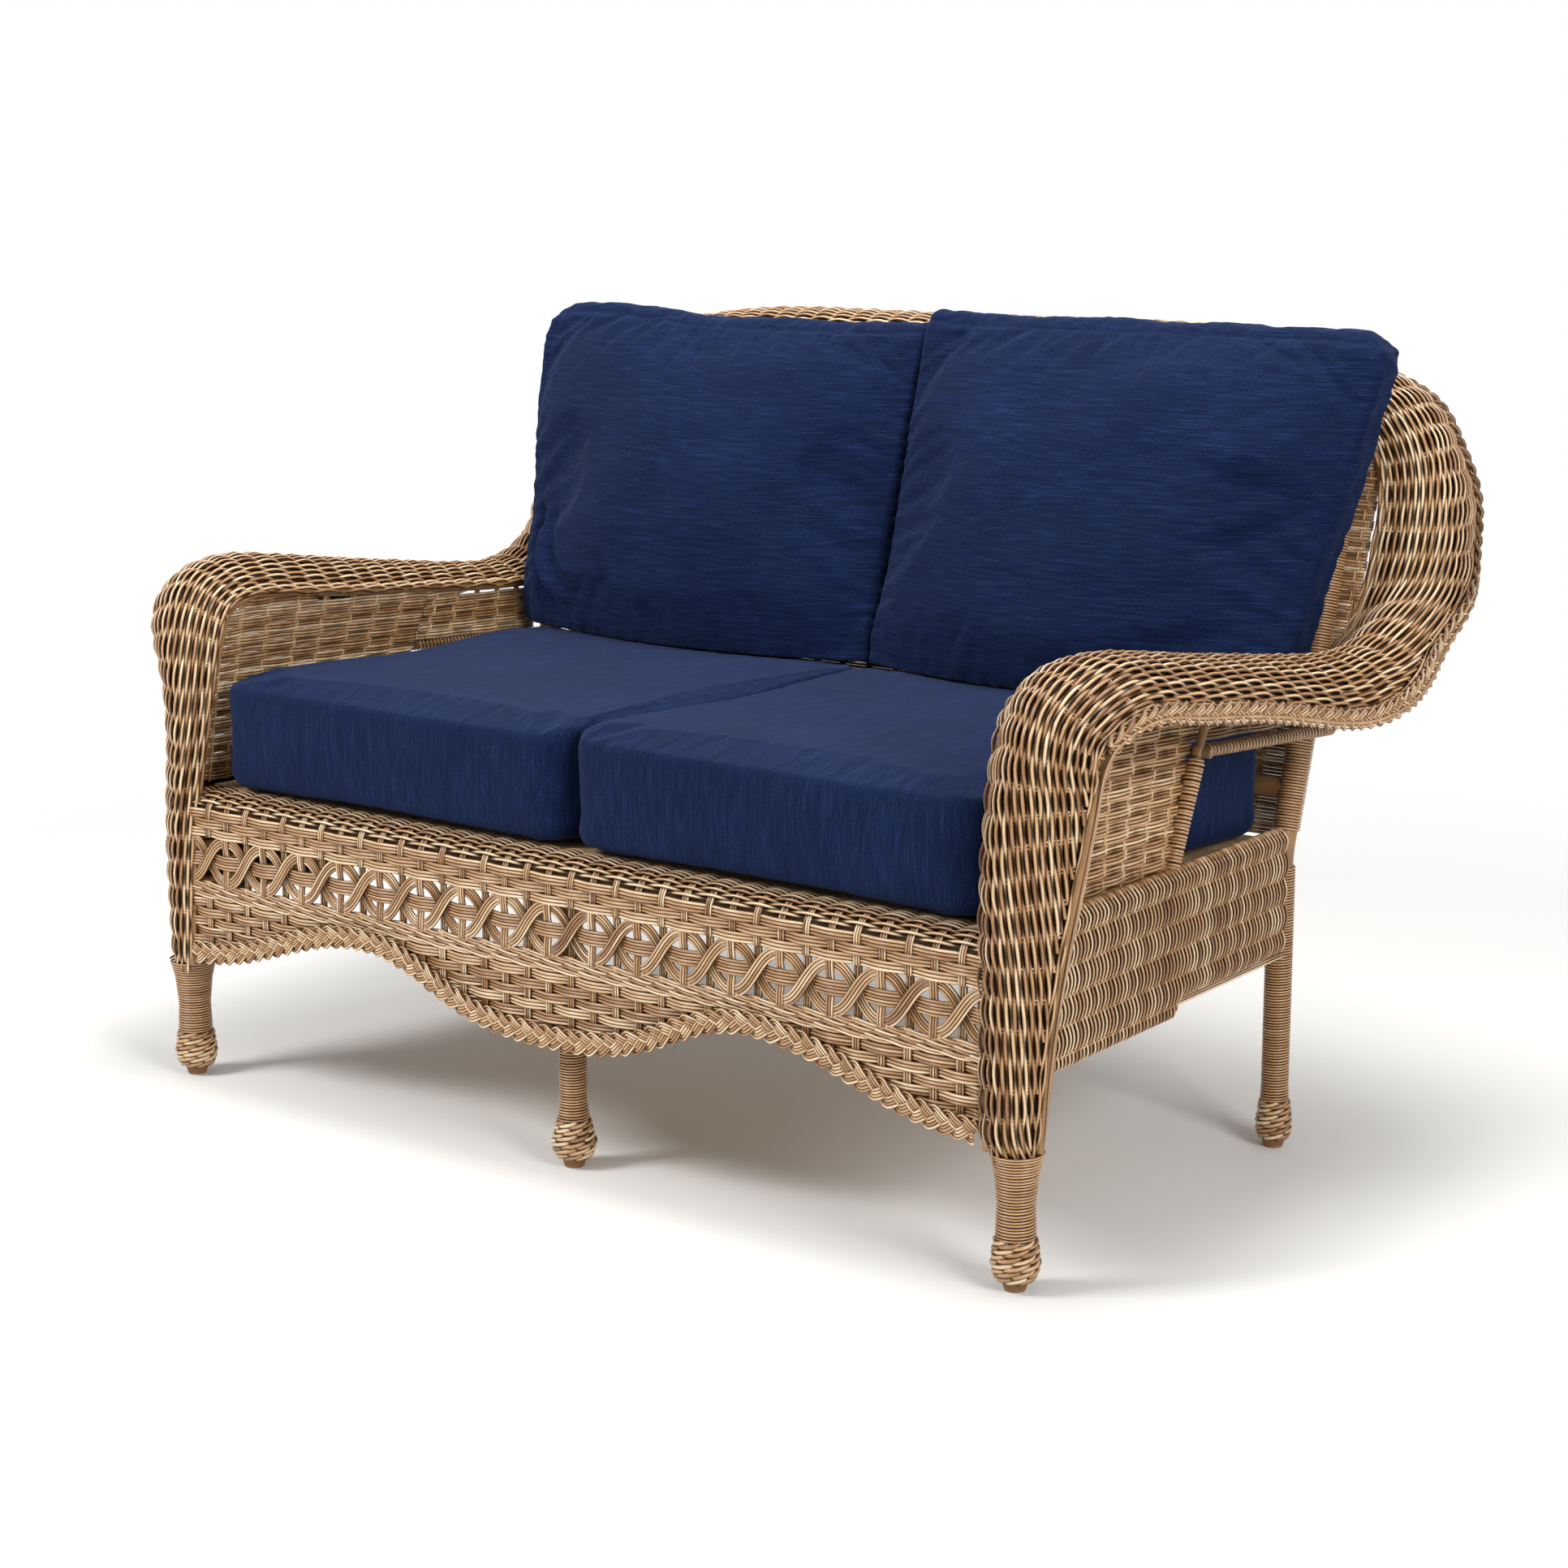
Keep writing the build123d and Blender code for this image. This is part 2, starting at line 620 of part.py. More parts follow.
end_high = stay_at(arm_rail_at(stay_top_y).Z - 2 * panel_drop)
panel_sections.append((
    Vector(end_low.X - skin_wall, end_low.Y - panel_end_gap, arm_panel_bottom),
    Vector(arm_rail_at(end_high.Y).X, end_high.Y - panel_end_gap, end_high.Z),
))
strip_sections = []
strip_start = end_high.Y - panel_end_gap + fit
strip_end = inner_arm[-1].Y - rim_radius
for y in (strip_start, inner_arm[7].Y, inner_arm[8].Y, strip_end):
    top = arm_rail_at(y)
    share = (y - brace_start_y) / (brace_y - brace_start_y)
    low_z = brace_height + (brace_rear_height - brace_height) * share + brace_radius + clamp_wall
    strip_sections.append((Vector(top.X, y, low_z), Vector(top.X, y, top.Z - panel_drop)))
both_sides("arm_panel", Compound([slab(panel_sections), slab(strip_sections)]))


# Back panel behind the rear posts, inside the inner hoop

panel_offset = leg_radius + fit
panel_tilt = math.degrees(math.atan(back_rake))
panel_lift = 1 / math.cos(math.radians(panel_tilt))
inset = rim_radius + fit
outline = [(side_line_x(rear_leg_y) - rail_radius, seat_rail_height + rail_radius + fit)]
hoop = right_back_stations
for station, before, after in zip(hoop[1:], hoop, hoop[2:] + [left_back_stations[-1]]):
    along = Vector(after[0].X - before[0].X, 0, after[0].Z - before[0].Z).normalized()
    inward = Vector(-along.Z, 0, along.X)
    point = station[0] + inward * inset
    outline.append((point.X, point.Z))
outline.insert(1, (outline[0][0], outline[1][1]))
outline += [(-x, z) for x, z in outline[::-1]]
blank = extrude(Plane.XZ * make_face(Polyline(*outline, close=True)), depth, both=True)
plate_plane = Plane(
    origin=(0, post_y(post_kink_height) + panel_offset * panel_lift, post_kink_height), x_dir=(1, 0, 0),
    z_dir=(0, -math.cos(math.radians(panel_tilt)), math.sin(math.radians(panel_tilt))),
)
plate = extrude(plate_plane * Rectangle(2 * half_width, 2 * back_height), -skin_wall)
nodes["back_panel"] = largest((plate & blank) - back_hoop_space)


# Cushions

seat_cushion_depth = rear_leg_y - seat_cushion_rear_gap - seat_cushion_front
arm_inside_x = min(point.X for point in inner_arm) - rim_radius
seat_cushion_width = arm_inside_x - seat_cushion_side_gap - cushion_clearance
back_cushion_width = right_back_stations[5][0].X - back_cushion_side_gap


def rounded_outline(width, length, corner, center):
    """A level rounded rectangle of lines and quarter arcs."""
    mid = corner * (1 - math.sqrt(0.5))
    turns = []
    for sx, sy in ((1, -1), (1, 1), (-1, 1), (-1, -1)):
        x = sx * width / 2
        y = sy * length / 2
        on_side = Vector(x, y - sy * corner) + center
        on_end = Vector(x - sx * corner, y) + center
        bend = Vector(x - sx * mid, y - sy * mid) + center
        turns.append((on_side, bend, on_end) if sx * sy > 0 else (on_end, bend, on_side))
    edges = []
    for k, (start, bend, end) in enumerate(turns):
        edges.append(ThreePointArc(start, bend, end))
        edges.append(Line(end, turns[(k + 1) % len(turns)][0]))
    return Wire(edges)


def seat_cushion(side):
    """A boxed seat cushion: an upright border, rounded edges and a low crown on top."""
    bottom = deck_top + cushion_clearance
    x = side * (cushion_clearance + seat_cushion_width / 2)
    y = seat_cushion_front + seat_cushion_depth / 2
    wires = []
    for drawn_share, rise_share in seat_cushion_shares:
        drawn = drawn_share * seat_cushion_thickness
        rise = rise_share * seat_cushion_thickness
        wires.append(rounded_outline(
            seat_cushion_width - 2 * drawn, seat_cushion_depth - 2 * drawn, seat_cushion_corner,
            Vector(x, y, bottom + rise),
        ))
    return Solid.make_loft(wires, ruled=True)


def back_cushion(side):
    """A pillow on its edge: a narrow border near the back and a deep crown in front."""
    seat_top = deck_top + seat_cushion_thickness + 2 * cushion_clearance
    wires = []
    for rise_share, width_share, border_share, crown_share, rear_share in back_cushion_shares:
        z = seat_top + rise_share * back_cushion_height
        half = width_share * back_cushion_width / 2
        x = side * (cushion_clearance + half + (1 - width_share) * back_cushion_width * inner_tuck_share)
        post_front = post_y(z) - (leg_radius + cushion_clearance) * panel_lift
        rear = post_front - rear_share * back_cushion_border
        front = rear - border_share * back_cushion_border
        crown = front - crown_share * back_cushion_crown
        corners = [Vector(x + half, rear, z), Vector(x + half, front, z)]
        corners += [Vector(x - half, front, z), Vector(x - half, rear, z)]
        wires.append(Wire([
            Line(corners[0], corners[1]), ThreePointArc(corners[1], Vector(x, crown, z), corners[2]),
            Line(corners[2], corners[3]), Line(corners[3], corners[0]),
        ]))
    return Solid.make_loft(wires, ruled=True)


for name, side in (("right", 1), ("left", -1)):
    nodes["seat_cushion_" + name] = seat_cushion(side)
    nodes["back_cushion_" + name] = back_cushion(side)


# The origin is the middle of the footprint of the whole piece, on the floor

boxes = [shape.bounding_box() for shape in nodes.values()]
front = min(box.min.Y for box in boxes)
rear = max(box.max.Y for box in boxes)
center_y = (front + rear) / 2
print("front", round(front, 3), "rear", round(rear, 3), "moved forward by", round(center_y, 3))

for name, shape in nodes.items():
    export_step(Pos(0, -center_y, 0) * shape, f"parts/{name}.step")
print(len(nodes), "parts")
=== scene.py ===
import math

import bmesh
import bpy
import numpy as np
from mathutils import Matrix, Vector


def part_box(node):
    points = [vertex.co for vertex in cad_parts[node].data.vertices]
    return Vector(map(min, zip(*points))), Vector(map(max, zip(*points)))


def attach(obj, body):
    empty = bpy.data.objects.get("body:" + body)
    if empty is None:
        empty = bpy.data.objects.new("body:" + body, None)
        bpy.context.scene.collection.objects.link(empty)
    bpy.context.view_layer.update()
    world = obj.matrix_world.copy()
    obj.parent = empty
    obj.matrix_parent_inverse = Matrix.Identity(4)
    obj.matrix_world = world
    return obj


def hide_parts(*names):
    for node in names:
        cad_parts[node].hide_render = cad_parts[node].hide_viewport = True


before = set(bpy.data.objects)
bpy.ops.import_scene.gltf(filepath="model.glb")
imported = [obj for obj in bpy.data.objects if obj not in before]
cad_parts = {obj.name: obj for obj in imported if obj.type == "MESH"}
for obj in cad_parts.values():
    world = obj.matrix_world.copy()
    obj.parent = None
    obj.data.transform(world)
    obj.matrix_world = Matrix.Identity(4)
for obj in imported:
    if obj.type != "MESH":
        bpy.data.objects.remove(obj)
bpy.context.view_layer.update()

# A two-seat wicker garden settee, in metres: X to the right of the photograph's viewer, Y to the back, Z up.
# Lengths named _mm are in millimetres and are turned into metres where they are used.
MM = 0.001
FORWARD = np.array([0.0, -1.0, 0.0])
chance = np.random.default_rng(11)


def box_middle(node):
    """Middle of a node's box: half the sum of its two corners."""
    low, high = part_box(node)
    return (np.array(low) + np.array(high)) / 2


# The middles of the feet. The stations below are measured from the line of the front ones.
front_leg_x, front_line, _ = box_middle("front_glide_right")
rear_leg_x, rear_line, _ = box_middle("rear_glide_right")
center_line = box_middle("center_glide")[1]

half_width = 0.697
depth = 0.875
arm_height = 0.610
back_height = 0.880

# Stations along the woven band: inner rail, two shoulders and outer rim, as shares of the sizes above
arm_station_shares = np.array([
    ((0.815, -0.021, 0.230), (0.834, -0.031, 0.230), (0.861, -0.022, 0.230), (0.878, 0.007, 0.230)),
    ((0.805, -0.015, 0.525), (0.829, -0.032, 0.525), (0.868, -0.018, 0.525), (0.901, 0.016, 0.525)),
    ((0.790, 0.011, 0.784), (0.822, -0.022, 0.790), (0.872, -0.017, 0.793), (0.931, 0.038, 0.793)),
    ((0.789, 0.041, 0.911), (0.841, 0.009, 0.956), (0.904, 0.006, 0.930), (0.948, 0.051, 0.877)),
    ((0.789, 0.089, 0.934), (0.842, 0.076, 0.990), (0.915, 0.087, 0.979), (0.961, 0.109, 0.907)),
    ((0.790, 0.171, 0.925), (0.844, 0.170, 0.985), (0.918, 0.175, 0.967), (0.967, 0.181, 0.898)),
    ((0.793, 0.286, 0.908), (0.848, 0.286, 0.962), (0.922, 0.288, 0.944), (0.971, 0.291, 0.879)),
    ((0.799, 0.423, 0.892), (0.859, 0.433, 0.936), (0.931, 0.439, 0.910), (0.978, 0.440, 0.843)),
    ((0.806, 0.549, 0.877), (0.869, 0.559, 0.915), (0.940, 0.562, 0.885), (0.989, 0.560, 0.820)),
    ((0.813, 0.642, 0.872), (0.875, 0.642, 0.910), (0.944, 0.642, 0.892), (0.996, 0.642, 0.836)),
])
back_station_shares = np.array([
    ((0.824, 0.701, -0.259), (0.879, 0.693, -0.167), (0.935, 0.701, -0.185), (0.981, 0.718, -0.293)),
    ((0.835, 0.731, -0.167), (0.888, 0.727, -0.089), (0.935, 0.745, -0.096), (0.971, 0.775, -0.178)),
    ((0.846, 0.746, -0.030), (0.905, 0.753, 0.011), (0.956, 0.782, 0.011), (0.976, 0.825, -0.030)),
    ((0.857, 0.754, 0.148), (0.921, 0.767, 0.156), (0.963, 0.807, 0.159), (0.958, 0.859, 0.167)),
    ((0.858, 0.767, 0.333), (0.921, 0.783, 0.344), (0.954, 0.827, 0.359), (0.940, 0.878, 0.374)),
    ((0.844, 0.781, 0.489), (0.900, 0.801, 0.526), (0.921, 0.847, 0.552), (0.897, 0.894, 0.544)),
    ((0.803, 0.792, 0.630), (0.849, 0.817, 0.704), (0.868, 0.866, 0.726), (0.849, 0.909, 0.685)),
    ((0.725, 0.800, 0.733), (0.766, 0.826, 0.826), (0.778, 0.874, 0.852), (0.753, 0.918, 0.793)),
    ((0.617, 0.805, 0.800), (0.646, 0.835, 0.911), (0.651, 0.888, 0.926), (0.631, 0.930, 0.844)),
    ((0.473, 0.807, 0.837), (0.485, 0.843, 0.970), (0.488, 0.899, 0.974), (0.481, 0.942, 0.859)),
    ((0.258, 0.807, 0.852), (0.260, 0.847, 0.985), (0.261, 0.905, 0.978), (0.261, 0.946, 0.837)),
])


# Curves and surfaces

def spline(knots, values, at):
    """Natural cubic through values at knots: the bends at the knots solve the usual three-band system,
    and each span is the cubic with its end values and end bends."""
    count = len(knots)
    flat = values.reshape(count, -1)
    gap = np.diff(knots)
    slope = np.diff(flat, axis=0) / gap[:, None]
    system = np.eye(count)
    right = np.zeros_like(flat)
    inner = np.arange(1, count - 1)
    system[inner, inner - 1] = gap[:-1]
    system[inner, inner] = 2 * (gap[:-1] + gap[1:])
    system[inner, inner + 1] = gap[1:]
    right[1:-1] = 6 * np.diff(slope, axis=0)
    bend = np.linalg.solve(system, right)
    span = np.clip(np.searchsorted(knots, at, side="right") - 1, 0, count - 2)
    size = gap[span][:, None]
    b = (at[:, None] - knots[span][:, None]) / size
    a = 1 - b
    lift = ((a**3 - a) * bend[span] + (b**3 - b) * bend[span + 1]) * size**2 / 6
    return (a * flat[span] + b * flat[span + 1] + lift).reshape((len(at),) + values.shape[1:])


def unit(vectors):
    """Vectors of length one: each over its own length."""
    return vectors / np.maximum(np.linalg.norm(vectors, axis=-1, keepdims=True), 1e-12)


def lengths(line):
    """Distance run along a polyline at each of its points, starting at nought."""
    steps = np.linalg.norm(np.diff(line, axis=-2), axis=-1)
    return np.concatenate([np.zeros(steps.shape[:-1] + (1,)), np.cumsum(steps, axis=-1)], axis=-1)


def spaced(lines, count):
    """Points at even spacing along each polyline: a straight blend between the two points on either side."""
    run = lengths(lines)
    goal = run[..., -1:] * np.linspace(0, 1, count)
    after = np.clip((run[..., None, :] <= goal[..., :, None]).sum(axis=-1), 1, run.shape[-1] - 1)
    start = np.take_along_axis(run, after - 1, axis=-1)
    end = np.take_along_axis(run, after, axis=-1)
    share = ((goal - start) / np.maximum(end - start, 1e-12))[..., None]
    before_points = np.take_along_axis(lines, (after - 1)[..., None], axis=-2)
    after_points = np.take_along_axis(lines, after[..., None], axis=-2)
    return before_points * (1 - share) + after_points * share


def smooth_line(points, step_mm):
    """A natural cubic through the points, at even steps."""
    knots = lengths(points)
    fine = spline(knots, points, np.linspace(0, knots[-1], len(points) * 40))
    return spaced(fine, int(round(knots[-1] / (step_mm * MM))) + 1)


class Sheet:
    """A surface as a grid of points: rows go along it, columns across it at even spacing.
    The normal is the direction across times the direction along."""

    def __init__(self, grid, columns=60):
        """Spaces the columns evenly and takes the steps along and across from one grid point to the next."""
        self.grid = spaced(grid, columns)
        along = np.gradient(self.grid, axis=0)
        across = np.gradient(self.grid, axis=1)
        self.normal = unit(np.cross(across, along))
        self.run = lengths(self.grid[:, columns // 2])
        self.width = lengths(self.grid)[:, -1]
        self.length = self.run[-1]

    def at(self, run, reach):
        """Point and normal at a distance along and a distance in from the first edge: a blend of four grid points."""
        run, reach = np.broadcast_arrays(run, reach)
        rows, columns = self.grid.shape[:2]
        beyond = run - np.clip(run, 0, self.length)
        row = np.interp(run, self.run, np.arange(rows)) + beyond * (rows - 1) / self.length
        column = reach / np.interp(run, self.run, self.width) * (columns - 1)
        r = np.clip(row.astype(int), 0, rows - 2)
        c = np.clip(column.astype(int), 0, columns - 2)
        u = (row - r)[..., None]
        v = (column - c)[..., None]

        def blend(field):
            """Straight blends across the two rows on either side, and then between them."""
            first = field[r, c] * (1 - v) + field[r, c + 1] * v
            second = field[r + 1, c] * (1 - v) + field[r + 1, c + 1] * v
            return first * (1 - u) + second * u

        return blend(self.grid), unit(blend(self.normal))

    def wide(self, run):
        """Width at a distance along: a straight blend between the rows on either side."""
        return np.interp(run, self.run, self.width)


class Weave:
    """Gathers strands and makes one piece of them. Each strand is a six-sided tube along its line."""

    def __init__(self):
        """Starts with no strands. The lists hold an entry for each call of lay or core."""
        self.points = []
        self.faces = []
        self.uvs = []
        self.shades = []
        self.hollows = []
        self.total = 0

    def lay(self, lines, outs, wide_mm, thick_mm, hollow=0.0, shade=None):
        """Adds strands whose middles are lines, with outs for their upper sides. A ring of a strand is its middle
        plus half its width times the cosine along its side and half its thickness times the sine outward. hollow is
        how deep each ring lies in the weave, from nought on top to one under its neighbours; the wicker material
        paints shade by it."""
        lines = lines.reshape((-1,) + lines.shape[-2:])
        outs = np.broadcast_to(outs, lines.shape)
        strands, rings = lines.shape[:2]
        sides = 6
        along = unit(np.gradient(lines, axis=1))
        side = unit(np.cross(along, outs))
        up = np.cross(side, along)
        turn = np.arange(sides) * 2 * math.pi / sides - math.pi / 2
        across = side[:, :, None] * (np.cos(turn)[:, None] * wide_mm * MM / 2)
        rising = up[:, :, None] * (np.sin(turn)[:, None] * thick_mm * MM / 2)
        points = (lines[:, :, None] + across + rising).reshape(-1, 3)
        s, r, k = np.meshgrid(np.arange(strands), np.arange(rings - 1), np.arange(sides), indexing="ij")
        first = (s * rings + r) * sides
        ahead = (k + 1) % sides
        faces = np.stack([first + k, first + sides + k, first + sides + ahead, first + ahead], axis=-1)
        start = (np.arange(strands) * rings * sides)[:, None]
        end = start + (rings - 1) * sides
        caps = np.stack([start + [0, 1, 2, 3], start + [0, 3, 4, 5], end + [3, 2, 1, 0], end + [5, 4, 3, 0]], axis=1)
        run = lengths(lines)
        here = run[s, r]
        there = run[s, r + 1]
        low_side = k / sides
        high_side = (k + 1) / sides
        uv = np.stack([
            np.stack([here, low_side], -1), np.stack([there, low_side], -1),
            np.stack([there, high_side], -1), np.stack([here, high_side], -1),
        ], axis=-2)
        cap_uv = np.zeros(caps.shape + (2,))
        cap_uv[:, 2:, :, 0] = run[:, -1][:, None, None]
        if shade is None:
            shade = chance.random(strands)
        self.points.append(points)
        self.faces.append(np.concatenate([faces.reshape(-1, 4), caps.reshape(-1, 4)]) + self.total)
        self.uvs.append(np.concatenate([uv.reshape(-1, 2), cap_uv.reshape(-1, 2)]))
        self.shades.append(np.repeat(np.broadcast_to(shade, (strands,)), rings * sides))
        self.hollows.append(np.repeat(np.broadcast_to(hollow, (strands, rings)).ravel(), sides))
        self.total += len(points)

    def bundle(self, line, out, count, pitch_mm, wide_mm, thick_mm, hollow=0.0):
        """Adds strands lying side by side along one line, each moved sideways by its place times the pitch."""
        sideways = unit(np.cross(unit(np.gradient(line, axis=-2)), out))
        for k in range(count):
            offset = (k - (count - 1) / 2) * pitch_mm * MM
            self.lay(line + sideways * offset, out, wide_mm, thick_mm, hollow)

    def core(self, grid, outs, shade=0.3, hollow=0.9):
        """Adds a thin dark sheet of painted shade in the middle of a dense weave: it stands for the strands' shaded
        flanks, past which no daylight comes. Each face joins four neighbours of the grid, turned to the outs side."""
        rows, columns = grid.shape[:2]
        i, j = np.meshgrid(np.arange(rows - 1), np.arange(columns - 1), indexing="ij")
        first = i * columns + j
        faces = np.stack([first, first + columns, first + columns + 1, first + 1], axis=-1).reshape(-1, 4)
        facing = np.cross(grid[1:, :-1] - grid[:-1, :-1], grid[:-1, 1:] - grid[:-1, :-1])
        if np.sum(facing * np.broadcast_to(outs, grid.shape)[:-1, :-1]) < 0:
            faces = faces[:, ::-1]
        self.points.append(grid.reshape(-1, 3))
        self.faces.append(faces + self.total)
        self.uvs.append(np.full((faces.size, 2), 0.5))
        self.shades.append(np.full(rows * columns, shade))
        self.hollows.append(np.full(rows * columns, hollow))
        self.total += rows * columns

    def piece(self, name, material, *stands_for):
        """Makes one mesh of all that was added, riding on the frame in place of the nodes that it stands for. Its UV
        map strand holds the distance along a strand and the share of the way round it."""
        points = np.concatenate(self.points)
        faces = np.concatenate(self.faces)
        mesh = bpy.data.meshes.new(name)
        mesh.vertices.add(len(points))
        mesh.vertices.foreach_set("co", points.ravel())
        mesh.loops.add(faces.size)
        mesh.loops.foreach_set("vertex_index", faces.ravel().astype(np.int32))
        mesh.polygons.add(len(faces))
        mesh.polygons.foreach_set("loop_start", np.arange(0, faces.size, 4, dtype=np.int32))
        mesh.update(calc_edges=True)
        mesh.polygons.foreach_set("use_smooth", np.ones(len(faces), dtype=bool))
        layer = mesh.uv_layers.new(name="strand")
        layer.uv.foreach_set("vector", np.concatenate(self.uvs).ravel())
        for label, values in (("shade", self.shades), ("hollow", self.hollows)):
            marks = mesh.attributes.new(label, "FLOAT", "POINT")
            marks.data.foreach_set("value", np.concatenate(values).astype(np.float32))
        mesh.materials.append(material)
        made = bpy.data.objects.new(name, mesh)
        bpy.context.scene.collection.objects.link(made)
        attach(made, "frame")
        if stands_for:
            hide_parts(*stands_for)


# Materials

def tone(code):
    """Linear colour of an sRGB hex code: a channel c is c / 12.92 up to 0.04045, else ((c + 0.055) / 1.055) ** 2.4."""
    parts = np.array([int(code[k:k + 2], 16) for k in (1, 3, 5)]) / 255
    linear = np.where(parts <= 0.04045, parts / 12.92, ((parts + 0.055) / 1.055) ** 2.4)
    return tuple(linear) + (1.0,)


def feed(tree, node, inputs):
    """Gives each named input of a node a value, or a link from another node's output."""
    for key, value in inputs.items():
        if isinstance(value, bpy.types.NodeSocket):
            tree.links.new(value, node.inputs[key])
        else:
            node.inputs[key].default_value = value


def add(tree, kind, inputs=None, stops=(), **settings):
    """Adds a node, sets its properties and feeds its inputs. stops are the places and hex colours of a colour ramp."""
    made = tree.nodes.new(kind)
    for key, value in settings.items():
        setattr(made, key, value)
    feed(tree, made, inputs or {})
    for k, (place, code) in enumerate(stops):
        point = made.color_ramp.elements[k] if k < 2 else made.color_ramp.elements.new(place)
        point.position = place
        point.color = tone(code)
    return made


def new_material(name):
    """An empty material with its tree and shader, ready for nodes."""
    material = bpy.data.materials.new(name)
    material.use_nodes = True
    tree = material.node_tree
    return material, tree, tree.nodes["Principled BSDF"]


def wicker_material():
    """Extruded resin wicker: a two-tone honey strand, drawn through a die, so it has long streaks, fine grooves along
    it and a waxy gloss on its crown. Its colour also carries painted shade on each strand's flanks and where it lies
    deep in the weave."""
    material, tree, shader = new_material("extruded_resin_wicker")
    uv = add(tree, "ShaderNodeUVMap", uv_map="strand").outputs["UV"]
    place = add(tree, "ShaderNodeSeparateXYZ", {"Vector": uv}).outputs
    shade, hollow = (
        add(tree, "ShaderNodeAttribute", attribute_name=label, attribute_type="GEOMETRY").outputs["Fac"]
        for label in ("shade", "hollow")
    )
    # Far apart in the noise from one strand to the next
    apart = add(tree, "ShaderNodeMath", {0: shade, 1: 61.0}, operation="MULTIPLY").outputs[0]
    # Streaks about 30 mm long: 33 to the metre
    along = add(tree, "ShaderNodeMath", {0: place["X"], 1: 33.0}, operation="MULTIPLY").outputs[0]
    around = add(tree, "ShaderNodeMath", {0: place["Y"], 1: 3.0}, operation="MULTIPLY").outputs[0]
    spot = add(tree, "ShaderNodeCombineXYZ", {"X": along, "Y": around, "Z": apart}).outputs[0]
    streak = add(tree, "ShaderNodeTexNoise", {
        "Vector": spot, "Scale": 1.0, "Detail": 4.0, "Roughness": 0.6,
    }).outputs["Fac"]
    mixed = add(tree, "ShaderNodeMix", {0: 0.42, 2: streak, 3: shade}, data_type="FLOAT").outputs[0]
    color = add(tree, "ShaderNodeValToRGB", {"Fac": mixed}, stops=(
        (0.22, "#80562F"), (0.40, "#AC7F52"), (0.55, "#CBA376"), (0.75, "#EED3AB"),
    )).outputs["Color"]
    # Painted brown shade between strands: deepest along both sides of a strand, a quarter turn from its crown, and
    # gone from the crown itself
    crown = add(tree, "ShaderNodeMath", {0: place["Y"], 1: 0.5}, operation="SUBTRACT").outputs[0]
    crown = add(tree, "ShaderNodeMath", {0: crown}, operation="ABSOLUTE").outputs[0]
    beside = add(tree, "ShaderNodeMath", {0: crown, 1: 0.25}, operation="SUBTRACT").outputs[0]
    beside = add(tree, "ShaderNodeMath", {0: beside}, operation="ABSOLUTE").outputs[0]
    flank_shade = add(tree, "ShaderNodeMapRange", {
        "Value": beside, "From Min": 0.07, "From Max": 0.205, "To Min": 0.92, "To Max": 0.0,
    }, interpolation_type="SMOOTHSTEP").outputs["Result"]
    flank_shaded = add(tree, "ShaderNodeMix", {0: flank_shade, 6: color, 7: tone("#3F210C")}, data_type="RGBA").outputs[2]
    # Painted shade where a strand dives under its neighbours, where hardly any light comes back out
    hollow_shade = add(tree, "ShaderNodeMapRange", {
        "Value": hollow, "From Min": 0.25, "From Max": 0.85, "To Max": 0.92,
    }, interpolation_type="SMOOTHSTEP").outputs["Result"]
    deep = add(tree, "ShaderNodeMix", {0: hollow_shade, 6: flank_shaded, 7: tone("#150903")}, data_type="RGBA").outputs[2]
    shine = add(tree, "ShaderNodeMapRange", {
        "Value": hollow, "From Min": 0.2, "From Max": 0.7, "To Min": 0.6, "To Max": 0.03,
    }).outputs["Result"]
    # Grooves along the strand: eight round it, and only slowly changing along it
    grooves = add(tree, "ShaderNodeMath", {0: place["Y"], 1: 16.0}, operation="MULTIPLY").outputs[0]
    slow = add(tree, "ShaderNodeMath", {0: place["X"], 1: 40.0}, operation="MULTIPLY").outputs[0]
    spot = add(tree, "ShaderNodeCombineXYZ", {"X": slow, "Y": grooves, "Z": apart}).outputs[0]
    groove = add(tree, "ShaderNodeTexNoise", {"Vector": spot, "Scale": 1.0, "Detail": 2.0}).outputs["Fac"]
    bump = add(tree, "ShaderNodeBump", {"Height": groove, "Strength": 0.35, "Distance": 0.0004}).outputs["Normal"]
    gloss = add(tree, "ShaderNodeMapRange", {"Value": streak, "To Min": 0.22, "To Max": 0.38}).outputs["Result"]
    feed(tree, shader, {
        "Base Color": deep, "Specular IOR Level": shine, "Normal": bump, "Roughness": gloss, "IOR": 1.5,
    })
    return material


def tube_material():
    """Steel tube with a tan powder coat: even colour with a faint orange peel about 2 mm across."""
    material, tree, shader = new_material("powder_coated_steel_tube")
    place = add(tree, "ShaderNodeTexCoord").outputs["Object"]
    cloud = add(tree, "ShaderNodeTexNoise", {"Vector": place, "Scale": 30.0, "Detail": 3.0}).outputs["Fac"]
    color = add(tree, "ShaderNodeValToRGB", {"Fac": cloud}, stops=((0.3, "#86603A"), (0.7, "#A07A4E")))
    peel = add(tree, "ShaderNodeTexNoise", {"Vector": place, "Scale": 500.0, "Detail": 1.0}).outputs["Fac"]
    bump = add(tree, "ShaderNodeBump", {"Height": peel, "Strength": 0.25, "Distance": 0.0002})
    feed(tree, shader, {
        "Base Color": color.outputs["Color"], "Normal": bump.outputs["Normal"], "Roughness": 0.42,
    })
    return material


